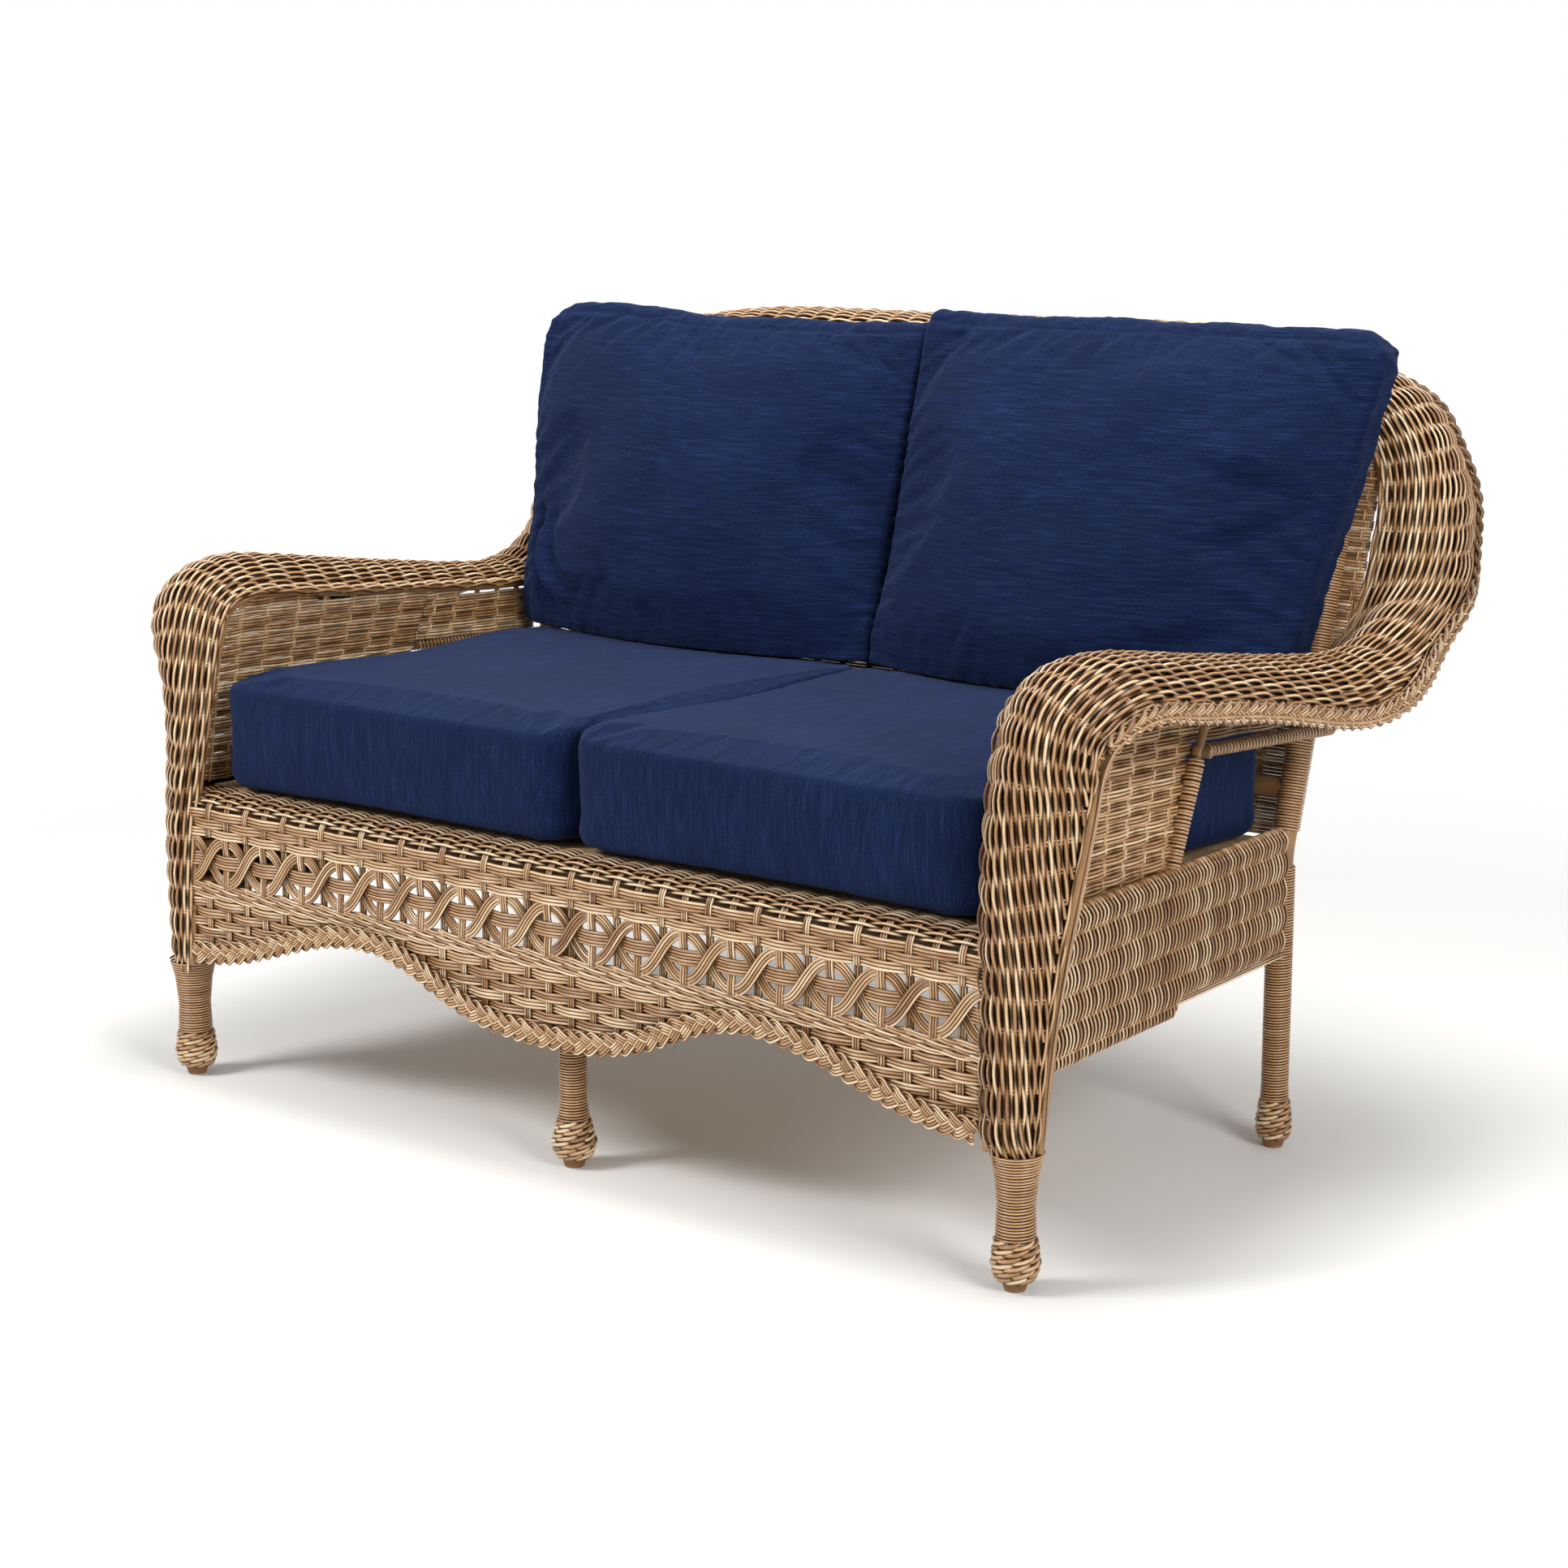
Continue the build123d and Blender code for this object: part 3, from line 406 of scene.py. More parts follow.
def glide_material():
    """Moulded nylon glide: tan brown with a fine spark-eroded grain and a scuffed rim."""
    material, tree, shader = new_material("moulded_nylon_glide")
    place = add(tree, "ShaderNodeTexCoord").outputs["Object"]
    height = add(tree, "ShaderNodeSeparateXYZ", {"Vector": place}).outputs["Z"]
    # Scuffs fade out over the lowest 4 mm
    worn = add(tree, "ShaderNodeMapRange", {
        "Value": height, "From Min": 0.0, "From Max": 0.004, "To Min": 1.0, "To Max": 0.0,
    }).outputs[0]
    grain = add(tree, "ShaderNodeTexNoise", {"Vector": place, "Scale": 900.0, "Detail": 2.0}).outputs["Fac"]
    patch = add(tree, "ShaderNodeTexNoise", {"Vector": place, "Scale": 140.0, "Detail": 3.0}).outputs["Fac"]
    scuff = add(tree, "ShaderNodeMath", {0: worn, 1: patch}, operation="MULTIPLY").outputs[0]
    color = add(tree, "ShaderNodeValToRGB", {"Fac": scuff}, stops=((0.1, "#7C5730"), (0.7, "#A58560")))
    bump = add(tree, "ShaderNodeBump", {"Height": grain, "Strength": 0.4, "Distance": 0.0001})
    feed(tree, shader, {
        "Base Color": color.outputs["Color"], "Normal": bump.outputs["Normal"], "Roughness": 0.5,
    })
    return material


def webbing_material():
    """Woven seat webbing: 50 mm tan straps over and under each other, with a fine rib across each strap."""
    material, tree, shader = new_material("woven_polypropylene_webbing")
    place = add(tree, "ShaderNodeTexCoord").outputs["Object"]
    # A square for each crossing of 50 mm straps: 20 to the metre
    squares = add(tree, "ShaderNodeTexChecker", {
        "Vector": place, "Scale": 20.0, "Color1": tone("#B99A72"), "Color2": tone("#A48660"),
    }).outputs
    # Ribs 3 mm apart
    ribs, other = (
        add(tree, "ShaderNodeTexWave", {"Vector": place, "Scale": 52.0, "Distortion": 0.4}, bands_direction=axis)
        for axis in ("X", "Y")
    )
    height = add(tree, "ShaderNodeMix", {
        0: squares["Fac"], 2: ribs.outputs["Fac"], 3: other.outputs["Fac"],
    }, data_type="FLOAT").outputs[0]
    bump = add(tree, "ShaderNodeBump", {"Height": height, "Strength": 0.6, "Distance": 0.0006})
    feed(tree, shader, {"Base Color": squares["Color"], "Normal": bump.outputs["Normal"], "Roughness": 0.8})
    return material


def screw_material():
    """Zinc-plated steel screw: a bright metal with a soft, slightly patchy sheen."""
    material, tree, shader = new_material("zinc_plated_steel")
    place = add(tree, "ShaderNodeTexCoord").outputs["Object"]
    patch = add(tree, "ShaderNodeTexNoise", {"Vector": place, "Scale": 700.0, "Detail": 2.0}).outputs["Fac"]
    rough = add(tree, "ShaderNodeMapRange", {"Value": patch, "To Min": 0.25, "To Max": 0.45})
    feed(tree, shader, {"Roughness": rough.outputs["Result"], "Base Color": tone("#A39C90"), "Metallic": 1.0})
    return material


def cover_material(name, threads, side_threads, side_axis):
    """Slub-woven polyester: navy threads of uneven thickness, with pale flecks where a thick thread comes up, and a
    dry sheen at grazing angles. threads is how many crossings to the metre lie along X, Y and Z, and side_threads is
    the same where the cover turns toward the side_axis. They are few along the slubs, which are 30 to 40 mm long,
    and many across them: 1.2 mm wide, coarser than the real 0.6 mm so that they show."""
    material, tree, shader = new_material(name)
    coordinates = add(tree, "ShaderNodeTexCoord").outputs
    place = coordinates["Object"]
    slubs = []
    for scale in (threads, side_threads):
        turned = add(tree, "ShaderNodeMapping", {"Vector": place, "Scale": scale}).outputs["Vector"]
        slubs.append(add(tree, "ShaderNodeTexNoise", {
            "Vector": turned, "Scale": 1.0, "Detail": 2.0, "Roughness": 0.5,
        }).outputs["Fac"])
    facing = add(tree, "ShaderNodeSeparateXYZ", {"Vector": coordinates["Normal"]}).outputs[side_axis]
    toward = add(tree, "ShaderNodeMath", {0: facing}, operation="ABSOLUTE").outputs[0]
    share = add(tree, "ShaderNodeMapRange", {"Value": toward, "From Min": 0.6, "From Max": 0.8}).outputs["Result"]
    slub = add(tree, "ShaderNodeMix", {0: share, 2: slubs[0], 3: slubs[1]}, data_type="FLOAT").outputs[0]
    weave = add(tree, "ShaderNodeTexNoise", {"Vector": place, "Scale": 700.0, "Detail": 1.0}).outputs["Fac"]
    cloud = add(tree, "ShaderNodeTexNoise", {"Vector": place, "Scale": 9.0, "Detail": 2.0}).outputs["Fac"]
    fine = add(tree, "ShaderNodeMix", {0: 0.35, 2: slub, 3: weave}, data_type="FLOAT").outputs[0]
    tinted = add(tree, "ShaderNodeMix", {0: 0.12, 2: fine, 3: cloud}, data_type="FLOAT").outputs[0]
    color = add(tree, "ShaderNodeValToRGB", {"Fac": tinted}, stops=(
        (0.36, "#09142E"), (0.50, "#0D1A38"), (0.64, "#192A50"),
    )).outputs["Color"]
    bump = add(tree, "ShaderNodeBump", {"Height": fine, "Strength": 0.4, "Distance": 0.0004}).outputs["Normal"]
    feed(tree, shader, {
        "Base Color": color, "Normal": bump, "Roughness": 0.85, "Specular IOR Level": 0.06,
        "Sheen Weight": 0.07, "Sheen Roughness": 0.5, "Sheen Tint": tone("#B9CBF8"),
    })
    return material


wicker = wicker_material()
tube = tube_material()
glide = glide_material()
webbing = webbing_material()
zinc = screw_material()
along_slub, across_slub = 28.0, 850.0
upright_side = (along_slub, across_slub, along_slub)
back_cover = cover_material(
    "slub_polyester_back_cover", (along_slub, along_slub, across_slub), upright_side, "Z")
seat_cover = cover_material(
    "slub_polyester_seat_cover", (across_slub, along_slub, along_slub), upright_side, "X")


# The rolled band: foot, arm, wing and crest from the right foot round to the left one

collar_drop = 0.009
arm_stations = arm_station_shares * np.array([half_width, depth, arm_height])
rise = back_height - arm_height
back_stations = back_station_shares * np.array([half_width, depth, rise]) + np.array([0, 0, arm_height])
right_half = np.concatenate([arm_stations, back_stations])
# Below the first station the strands gather into the leg's collar
right_half = np.concatenate([right_half[:1] - np.array([0, 0, collar_drop]), right_half])
stations = np.concatenate([right_half, (right_half * np.array([-1, 1, 1]))[::-1]])
stations[:, :, 1] += front_line
braid_station, last_arm_station, last_wing_station = 4, 10, 17

across = spline(np.arange(4.0), stations.transpose(1, 0, 2), np.linspace(0, 3, 60)).transpose(1, 0, 2)
middle = lengths(stations.mean(axis=1))
band_rows = int(middle[-1] / (3 * MM))
band_grid = spline(middle, across, np.linspace(0, middle[-1], band_rows))
gather_top, gather_height, gather_share = 0.172, 0.041, 0.24
pull = gather_share * np.clip((gather_top - band_grid[..., 2]) / gather_height, 0, 1) ** 2
band_grid[..., 0] += (np.sign(band_grid[..., 0]) * front_leg_x - band_grid[..., 0]) * pull
band_grid[..., 1] += (front_line - band_grid[..., 1]) * pull
band = Sheet(band_grid)


def run_to(station):
    """Distance along the band to a station: the same share of the band's length as of the middle line's."""
    return band.length * middle[station] / middle[-1]


# The band is five pieces: an arm, a wing, the crest, and the other wing and arm
stake_gap = 29.5 * MM
step = stake_gap / 5
stations_run = np.arange(0, band.length + step / 2, step)
split = int(round(run_to(last_arm_station) / step))
wing_split = int(round(run_to(last_wing_station) / step))
pieces_run = [
    stations_run[:split + 1], stations_run[split:wing_split + 1], stations_run[wing_split:-wing_split],
    stations_run[-wing_split - 1:-split], stations_run[-split - 1:],
]
bands = [Weave() for _ in pieces_run]
strand_pitch = 3.75 * MM
most_strands = 41
collar_clear = 13 * MM
braid_start = band.run[np.argmin(np.abs(band.run - run_to(braid_station)))]
leg_margin = 7 * MM
braid_margin = 15 * MM
margin_change = 0.06
rail_swell = 5.2 * MM
rail_reach = 7.5 * MM


def over_rail(reach):
    """How far strands near the inner edge ride up over the rail under them: a parabola that is gone where the rail's
    reach ends."""
    return rail_swell * np.maximum(0, 1 - (reach / rail_reach) ** 2)


def edge_margin(run):
    """Room left beside the outer rim: narrow down the leg, and wide enough for the braid along the arm and back."""
    near_end = np.minimum(run, band.length - run)
    share = np.clip((near_end - braid_start + margin_change) / margin_change, 0, 1)
    return leg_margin + share * (braid_margin - leg_margin)


def stretches(inside, least=3):
    """The unbroken stretches of a row of true and false, from each step up to the next step down, at least so long."""
    edges = np.flatnonzero(np.diff(np.concatenate([[0], inside.astype(int), [0]])))
    for start, end in zip(edges[::2], edges[1::2]):
        if end - start >= least:
            yield slice(start, end)


def over_under(run, gap, row):
    """The weave's wave: the cosine of half a turn for each gap between stakes, half a turn on from one row to the
    next, so that a strand is over one stake and under the next."""
    return np.cos(math.pi * run / gap + math.pi * row)


def rim_at(run, inset_mm, further_mm):
    """Point and normal so far in from the outer rim, and the way outward there, from a point further in."""
    width = band.wide(run)
    point, out = band.at(run, width - inset_mm * MM)
    before, _ = band.at(run, width - further_mm * MM)
    return point, out, unit(point - before)


waver_places = np.arange(0, band.length + 0.1, 0.045)


def waver(run):
    """A slow chance change along the band: straight between normal draws at even places."""
    return np.interp(run, waver_places, chance.normal(size=len(waver_places)))


for weave, run in zip(bands, pieces_run):
    width = band.wide(run)
    margin = edge_margin(run)
    pitch = np.maximum(strand_pitch, (width - margin) / (most_strands - 4))
    wide_mm = 1.1 * float(np.mean(pitch)) / MM
    for k in range(-1, int(np.max((width - margin) / pitch)) + 1):
        reach = (k + 0.4) * pitch
        inside = reach < width - margin
        if k < 1:
            # The innermost strands stop above the leg's collar
            inside &= np.minimum(run, band.length - run) > collar_clear
        aside = 0.4 * MM * waver(run)
        bounce = 1 + 0.12 * waver(run)
        for some in stretches(inside):
            point, out = band.at(run[some], (reach + aside)[some])
            wave = over_under(run[some], stake_gap, k)
            lift = 2.7 * MM * bounce[some] * wave + over_rail(reach[some])
            weave.lay(point + out * lift[:, None], out, wide_mm, 3.6, 0.36 - 0.36 * wave)
    # Two border strands follow the outer edge
    for k in range(2):
        reach = width - margin + (1.8 + 3.4 * k) * MM
        point, out = band.at(run, reach)
        wave = over_under(run, stake_gap, k)
        weave.lay(point + out * ((1.6 * wave + 1.0) * MM)[:, None], out, 3.7, 3.1, 0.3 - 0.3 * wave)
    # Stakes in pairs across the band, under the strands that pass over them
    places = np.arange(stake_gap / 2, band.length, stake_gap)
    places = places[(places > run[0]) & (places < run[-1])]
    for shift in (-1.8, 1.8):
        along = (places + shift * MM)[:, None]
        reach = np.linspace(0, 1, 14)[None, :] * band.wide(along)
        point, out = band.at(along, reach)
        weave.lay(point + out * (over_rail(reach)[..., None] - 0.6 * MM), out, 3.2, 2.8, 0.2)
    # A thin dark sheet of painted shade under the strands
    reach = 1 * MM + np.linspace(0, 1, 12)[None, :] * (width - 5 * MM)[:, None]
    point, out = band.at(run[:, None], reach)
    weave.core(point + out * (over_rail(reach)[..., None] - 2.5 * MM), out)
    # Smooth strands wrap the outer rim under the braid
    point, out, away = rim_at(run, 0, 4)
    for angle in np.radians([-60, -20, 20, 60, 100]):
        toward = away * math.cos(angle) - out * math.sin(angle)
        weave.lay(point + toward * 5.4 * MM, toward, 4.6, 2.4)

for weave, name, node in zip(
    bands,
    ("arm_weave_right", "wing_weave_right", "crest_weave", "wing_weave_left", "arm_weave_left"),
    ("arm_roll_right", "back_roll_wing_right", "back_roll_crest", "back_roll_wing_left", "arm_roll_left"),
):
    weave.piece(name, wicker, node)


# Braids on the outer rims of the arms and back

def braid(weave, line, out, period_mm, swing_mm, lift_mm, strands, pitch_mm, wide_mm, thick_mm):
    """A three-part plait: each part swings sideways by the sine of its phase, a third of a turn apart, and rises
    by the sine of twice its phase, so that it passes over and under the others."""
    run = lengths(line)
    sideways = unit(np.cross(unit(np.gradient(line, axis=0)), out))
    for k in range(3):
        phase = 2 * math.pi * (run / (period_mm * MM) + k / 3)
        swing = np.sin(phase)[:, None] * swing_mm * MM
        lift = np.sin(2 * phase)[:, None] * lift_mm * MM
        weave.bundle(line + sideways * swing + out * lift, out, strands, pitch_mm, wide_mm, thick_mm)


def rim_braid(run):
    """The line of the edge braid over a range of the band: it lies on the band's outer edge, turned a little out."""
    point, out, away = rim_at(run, 4.5, 12)
    facing = unit(out + 0.55 * away)
    return point + facing * 4.6 * MM, facing


for name, run, node in (
    ("arm_edge_braid_right", pieces_run[0], "arm_braid_right"),
    ("back_edge_braid", np.concatenate(pieces_run[1:4]), "back_braid"),
    ("arm_edge_braid_left", pieces_run[4], "arm_braid_left"),
):
    fine = np.arange(max(run[0], braid_start), min(run[-1], band.length - braid_start), 3.4 * MM)
    line, out = rim_braid(fine)
    weave = Weave()
    braid(weave, line, out, period_mm=48, swing_mm=7.2, lift_mm=2.6, strands=3, pitch_mm=3.5, wide_mm=3.7,
          thick_mm=3.2)
    weave.piece(name, wicker, node)


# Flat panels of basket weave: bundles of three strands over and under stakes of three strands

def tucked(wave, deepest):
    """How deep in the weave each ring of a bundle lies: the deepest times the square of the wave where it is under.
    The wicker material paints shade by it.
    """
    return deepest * np.clip(-wave, 0, 1) ** 2


def basket(weave, sheet, stake_mm, row_mm, lift_mm, low_mm=0.0, start_at=None, stop=None, bow_mm=0.0, sides=5):
    """Bundles run along the sheet at even rows across it and rise and fall by a cosine over the stakes, turned by
    half a period from one row to the next. start_at and stop give the first and last reach allowed at each run."""
    stake = stake_mm * MM
    run = np.linspace(0, sheet.length, int(math.ceil(sheet.length / stake * sides)) + 1)
    limit = sheet.wide(run) if stop is None else stop(run)
    least = run * 0 if start_at is None else start_at(run)
    height = np.max(limit) - low_mm * MM
    rows = max(1, round(height / (row_mm * MM)))
    row = height / rows
    for k in range(rows):
        reach = low_mm * MM + (k + 0.5) * row + bow_mm * MM * np.sin(math.pi * run / sheet.length)
        for some in stretches((reach < limit - row * 0.1) & (reach > least)):
            point, out = sheet.at(run[some], reach[some])
            wave = over_under(run[some], stake, k)
            weave.bundle(point + out * (lift_mm * MM * wave)[:, None], out, 3, 3.75, 4.1, 3.2, tucked(wave, 0.5))


def stakes(weave, sheet, places, starts, ends, pitch_mm, points=10, lift_mm=0.0):
    """Straight bundles of three strands across the sheet at the given runs, from a start to an end reach."""
    share = np.linspace(0, 1, points)[None, :]
    for k in (-1, 0, 1):
        along = (places + k * pitch_mm * MM)[:, None]
        reach = starts[:, None] * (1 - share) + ends[:, None] * share
        point, out = sheet.at(along, reach)
        weave.lay(point + out * lift_mm * MM, out, 3.0, 2.6)


def side_line_x(y):
    """How far out a side stands at a depth: straight from the middle of the front foot to that of the rear one."""
    return front_leg_x + (rear_leg_x - front_leg_x) * (y - front_line) / (rear_line - front_line)


def flipped(points, side):
    """Points on the right side, or mirrored to the left where side is minus one."""
    return points * np.array([side, 1, 1])


arm_inner = arm_stations[:, 0] + np.array([0, front_line, 0])
panel_low, panel_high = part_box("arm_panel_right")
stay_low, stay_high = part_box("arm_stay_right")
brace_low, brace_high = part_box("arm_brace_right")
stay_radius = 0.0045
stay_foot = np.array([stay_high[0] - stay_radius, stay_low[1] + stay_radius, stay_low[2]])
stay_head = np.array([stay_low[0] + stay_radius, stay_high[1] - stay_radius, stay_high[2]])
stay_lean = stay_head[1] - stay_foot[1]
stay_rise = stay_head[2] - stay_foot[2]
# The inner arm rail from behind the front bend, and on into the hoop as long as it runs to the rear
rail_line = arm_inner[2:]
hoop_start = back_stations[:1, 0] + np.array([0, front_line, 0])
rail_line = np.concatenate([rail_line, hoop_start[hoop_start[:, 1] > rail_line[-1, 1] + 0.001]])
panel_stake_mm = 40


def under_rail(ys):
    """Points 4 mm under the inner arm rail's middle line at the given depths, straight between its stations."""
    x, z = (np.interp(ys, rail_line[:, 1], rail_line[:, k]) for k in (0, 2))
    return np.stack([x, ys, z - 0.004], axis=1)


def share_back(ys):
    """Share of the way from the first depth to the last."""
    return (ys - ys[0]) / (ys[-1] - ys[0])


def arm_basket(weave, side, bottoms, tops, columns, lift_mm, **more):
    """A basket weave between two lines, straight from one to the other, with its stakes at even places."""
    grid = flipped(np.linspace(bottoms, tops, columns, axis=1), side)
    sheet = Sheet(grid[::-1] if side > 0 else grid)
    basket(weave, sheet, panel_stake_mm, 10.6, lift_mm, **more)
    places = np.arange(panel_stake_mm / 2, sheet.length / MM, panel_stake_mm) * MM
    stakes(weave, sheet, places, places * 0, sheet.wide(places), 3.1)


for side, name in ((1, "right"), (-1, "left")):
    weave = Weave()
    # The main panel, from the front leg to the stay, hangs from the inner arm rail and leans with the stay
    ys = np.linspace(arm_inner[2, 1] + 0.004, stay_foot[1], 60)
    run = np.linspace(0, 1, 60)
    tops = under_rail(ys)
    bottoms = np.stack([side_line_x(ys) - 0.011 * (1 - run**3), ys, np.full(60, panel_low[2])], axis=1)
    tops[:, 1] += stay_lean * (tops[:, 2] - panel_low[2]) / stay_rise * share_back(ys)
    tops[:, 2] = under_rail(tops[:, 1])[:, 2]
    arm_basket(weave, side, bottoms, tops, 30, 2.3, low_mm=2, bow_mm=-2)
    # The strip behind the stay, above the brace
    ys = np.linspace(tops[-1, 1] - 0.002, panel_high[1] + 0.012, 40)
    tops = under_rail(ys)
    low_z = np.interp(ys, [brace_low[1], brace_high[1]], [brace_high[2], brace_low[2] + 0.012]) + 0.003
    bottoms = np.stack([tops[:, 0], ys, low_z], axis=1)
    bottoms[:, 1] -= stay_lean / stay_rise * (tops[0, 2] - low_z[0]) * (1 - share_back(ys))
    arm_basket(weave, side, bottoms, tops, 20, 2.2)
    weave.piece("arm_panel_weave_" + name, wicker, "arm_panel_" + name)


# The back panel: a leaning plane inside the hoop

upper = box_middle("back_crossbar_upper")
lower = box_middle("back_crossbar_lower")
lean = (upper[1] - lower[1]) / (upper[2] - lower[2])
stretch = math.sqrt(1 + lean**2)
back_low, back_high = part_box("back_panel")
panel_ahead = 0.0168
post_radius = 0.011
inner_hoop = back_stations[:, 0]
hoop_x = np.concatenate([[arm_inner[-1, 0]], inner_hoop[:, 0]])
hoop_z = np.concatenate([[arm_inner[-1, 2]], inner_hoop[:, 2]])
widest = int(np.argmax(hoop_x))


def panel_top(x):
    """Height of the hoop over a place across the back, less the hoop's own radius."""
    order = np.argsort(hoop_x[widest:])
    return np.interp(np.abs(x), hoop_x[widest:][order], hoop_z[widest:][order]) - 0.007


def panel_foot(x):
    """Height of the panel's lower edge: on the rail between the posts, and on the hoop outside them."""
    outside = np.interp(np.abs(x), hoop_x[:widest + 1], hoop_z[:widest + 1]) + 0.006
    return np.where(np.abs(x) < rear_leg_x - post_radius, back_low[2], outside)


for name, x0, x1 in (("right", 0.0, back_high[0] - 0.004), ("left", back_low[0] + 0.004, 0.0)):
    weave = Weave()
    xs = np.linspace(x0, x1, 90)

    def on_plane(height):
        """The panel's points at one height: straight up between the crossbars' middles, moved to the panel."""
        z = np.full(90, height)
        return np.stack([xs, lower[1] + lean * (z - lower[2]) + panel_ahead, z], axis=1)

    sheet = Sheet(np.linspace(on_plane(back_low[2]), on_plane(back_high[2]), 60, axis=1))

    def reach_to(edge):
        """A rule that gives the reach on the sheet of an edge's height, at each run."""
        return lambda run: (edge(np.interp(run, sheet.run, xs)) - back_low[2]) * stretch

    start_at, stop = reach_to(panel_foot), reach_to(panel_top)
    basket(weave, sheet, panel_stake_mm, 11, 2.6, start_at=start_at, stop=stop, sides=4)
    places = np.arange(panel_stake_mm / 2, sheet.length / MM, panel_stake_mm) * MM
    stakes(weave, sheet, places, start_at(places), stop(places), 3.1, points=4)
    weave.piece("back_panel_weave_" + name, wicker, "back_panel")


# The front apron: a roll over the rail, a lattice band, basket weave and a scalloped hem

apron_low, apron_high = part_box("front_apron")
apron_half = apron_high[0]
skin = 0.002
apron_y = apron_low[1] + skin
roll_radius = 0.026
roll_top = apron_high[2]
roll_y = apron_y + roll_radius
face_y = roll_y - roll_radius + skin
face_foot = 0.150
dip_height = 0.154
peak_height = 0.216
end_height = 0.158
hem_shares = np.array([
    (0.00, 0.00), (0.15, 0.09), (0.25, 0.33), (0.35, 0.71), (0.45, 0.97), (0.52, 1.00),
    (0.61, 0.90), (0.71, 0.66), (0.80, 0.40), (0.89, 0.19),
])
hem_x = np.append(hem_shares[:, 0] * apron_half, apron_half + 0.003)
hem_z = np.append(dip_height + hem_shares[:, 1] * (peak_height - dip_height), end_height)
hem_points = np.stack([hem_x, hem_x * 0 + apron_y, hem_z], axis=1)
hem_line = smooth_line(np.concatenate([hem_points[:0:-1], hem_points * np.array([-1, 1, 1])]), 3.4)

turn = np.linspace(0, math.pi / 2, 12)
arc = np.stack([
    roll_y - (roll_radius - skin) * np.sin(turn), roll_top - roll_radius + (roll_radius - skin) * np.cos(turn),
], axis=1)
profile = np.concatenate([[[apron_high[1], roll_top - skin]], arc, [[face_y, face_foot]]])
xs = np.linspace(-apron_half, apron_half, 200)
apron = Sheet(np.concatenate([
    np.broadcast_to(xs[:, None, None], (200, len(profile), 1)),
    np.broadcast_to(profile[None], (200, len(profile), 2)),
], axis=2), 80)
total_reach = apron.width[0]


def hem_height(x):
    """Height of the hem at a place across the front, straight between the points of its line."""
    return np.interp(-x, -hem_line[:, 0], hem_line[:, 2])


def reach_of(z):
    """Reach on the apron of a height on its flat face."""
    return total_reach - (z - face_foot)


# Strands and then bundles run along the roll, a little past both ends
weave = Weave()
stake = 31.5 * MM
overrun = 8 * MM
end_clear = 0.006
run = np.arange(-overrun, apron.length + overrun, stake / 6)
x_at = run - apron_half
for k, reach in enumerate(np.arange(2.2 * MM, reach_of(0.332), 3.75 * MM)):
    point, out = apron.at(run, reach)
    wave = over_under(x_at, stake, k)
    weave.lay(point + out * (2.8 * MM * wave)[:, None], out, 3.6, 3.0, 0.5 - 0.5 * wave)
for k, reach in enumerate(reach_of(np.array([0.3245, 0.3135, 0.3025]))):
    point, out = apron.at(run, reach)
    wave = over_under(x_at, stake, k)
    weave.bundle(point + out * (2.4 * MM * wave)[:, None], out, 3, 3.75, 4.0, 3.2, tucked(wave, 0.62))
# Stakes through the roll down to the lattice: between the peaks of the waves
places_x = np.arange(-int(apron_half / stake), int(apron_half / stake) + 1) * stake
places_x = places_x[np.abs(places_x) < apron_half - end_clear]
places = places_x + apron_half
stakes(weave, apron, places, places * 0 + 2 * MM, places * 0 + reach_of(0.297), 3.0, points=16, lift_mm=-0.7)
# A thin dark sheet of painted shade behind the roll's strands
reach = 1 * MM + np.linspace(0, 1, 16)[None, :] * (reach_of(0.299) - 1 * MM)
point, out = apron.at(run[:, None], reach)
weave.core((point - out * 1.5 * MM)[::2], out[::2])
weave.piece("apron_roll_weave", wicker, "front_apron")

# The lattice: ribbons of four strands cross every two stakes
weave = Weave()
lattice_top = 0.296
lattice_low = 0.245
lattice_height = lattice_top - lattice_low
cell = 2 * stake
count = int(apron_half / cell) + 1
share = np.linspace(0, 1, 14)
ease = share - 0.12 * np.sin(2 * math.pi * share)
for k in range(-count, count):
    x = (k + share) * cell
    keep = np.abs(x) < apron_half + overrun
    if keep.sum() < 4:
        continue
    for rising in (True, False):
        z = lattice_low + lattice_height * (ease if rising else 1 - ease)
        lift_mm = (1.8 if rising else -1.8) * np.cos(math.pi * (share - 0.5))
        line = np.stack([x, face_y - lift_mm * MM - 0.0005, z], axis=1)[keep]
        sunk = 0.0 if rising else (0.62 * np.sin(math.pi * share) ** 2)[keep]
        weave.bundle(line, FORWARD, 4, 3.4, 3.4, 2.9, sunk)
# An upright bundle through each crossing of two ribbons, and one behind the middle of each cell
for k in range(-count, count + 1):
    x = k * cell
    if abs(x) > apron_half - end_clear:
        continue
    z = np.linspace(lattice_low - 0.004, lattice_top + 0.004, 12)
    lift = 3.2 * MM * np.abs(np.cos(math.pi * (z - lattice_low) / lattice_height)) - 1.2 * MM
    weave.bundle(np.stack([z * 0 + x, face_y - lift, z], axis=1), FORWARD, 3, 3.4, 3.5, 2.9)
    half_x = x + stake
    if abs(half_x) < apron_half - end_clear:
        line = np.stack([z * 0 + half_x, z * 0 + face_y + 0.0032, z], axis=1)
        weave.bundle(line, FORWARD, 3, 3.4, 3.4, 2.9, 0.5)
# A level ribbon of five strands through the middle
fine = np.arange(-apron_half - overrun, apron_half + overrun, stake / 6)
lift = 3.0 * MM * np.cos(2 * math.pi * fine / cell) - 0.4 * MM
line = np.stack([fine, face_y - lift, fine * 0 + (lattice_low + lattice_top) / 2], axis=1)
weave.bundle(line, FORWARD, 5, 3.4, 3.5, 2.9)
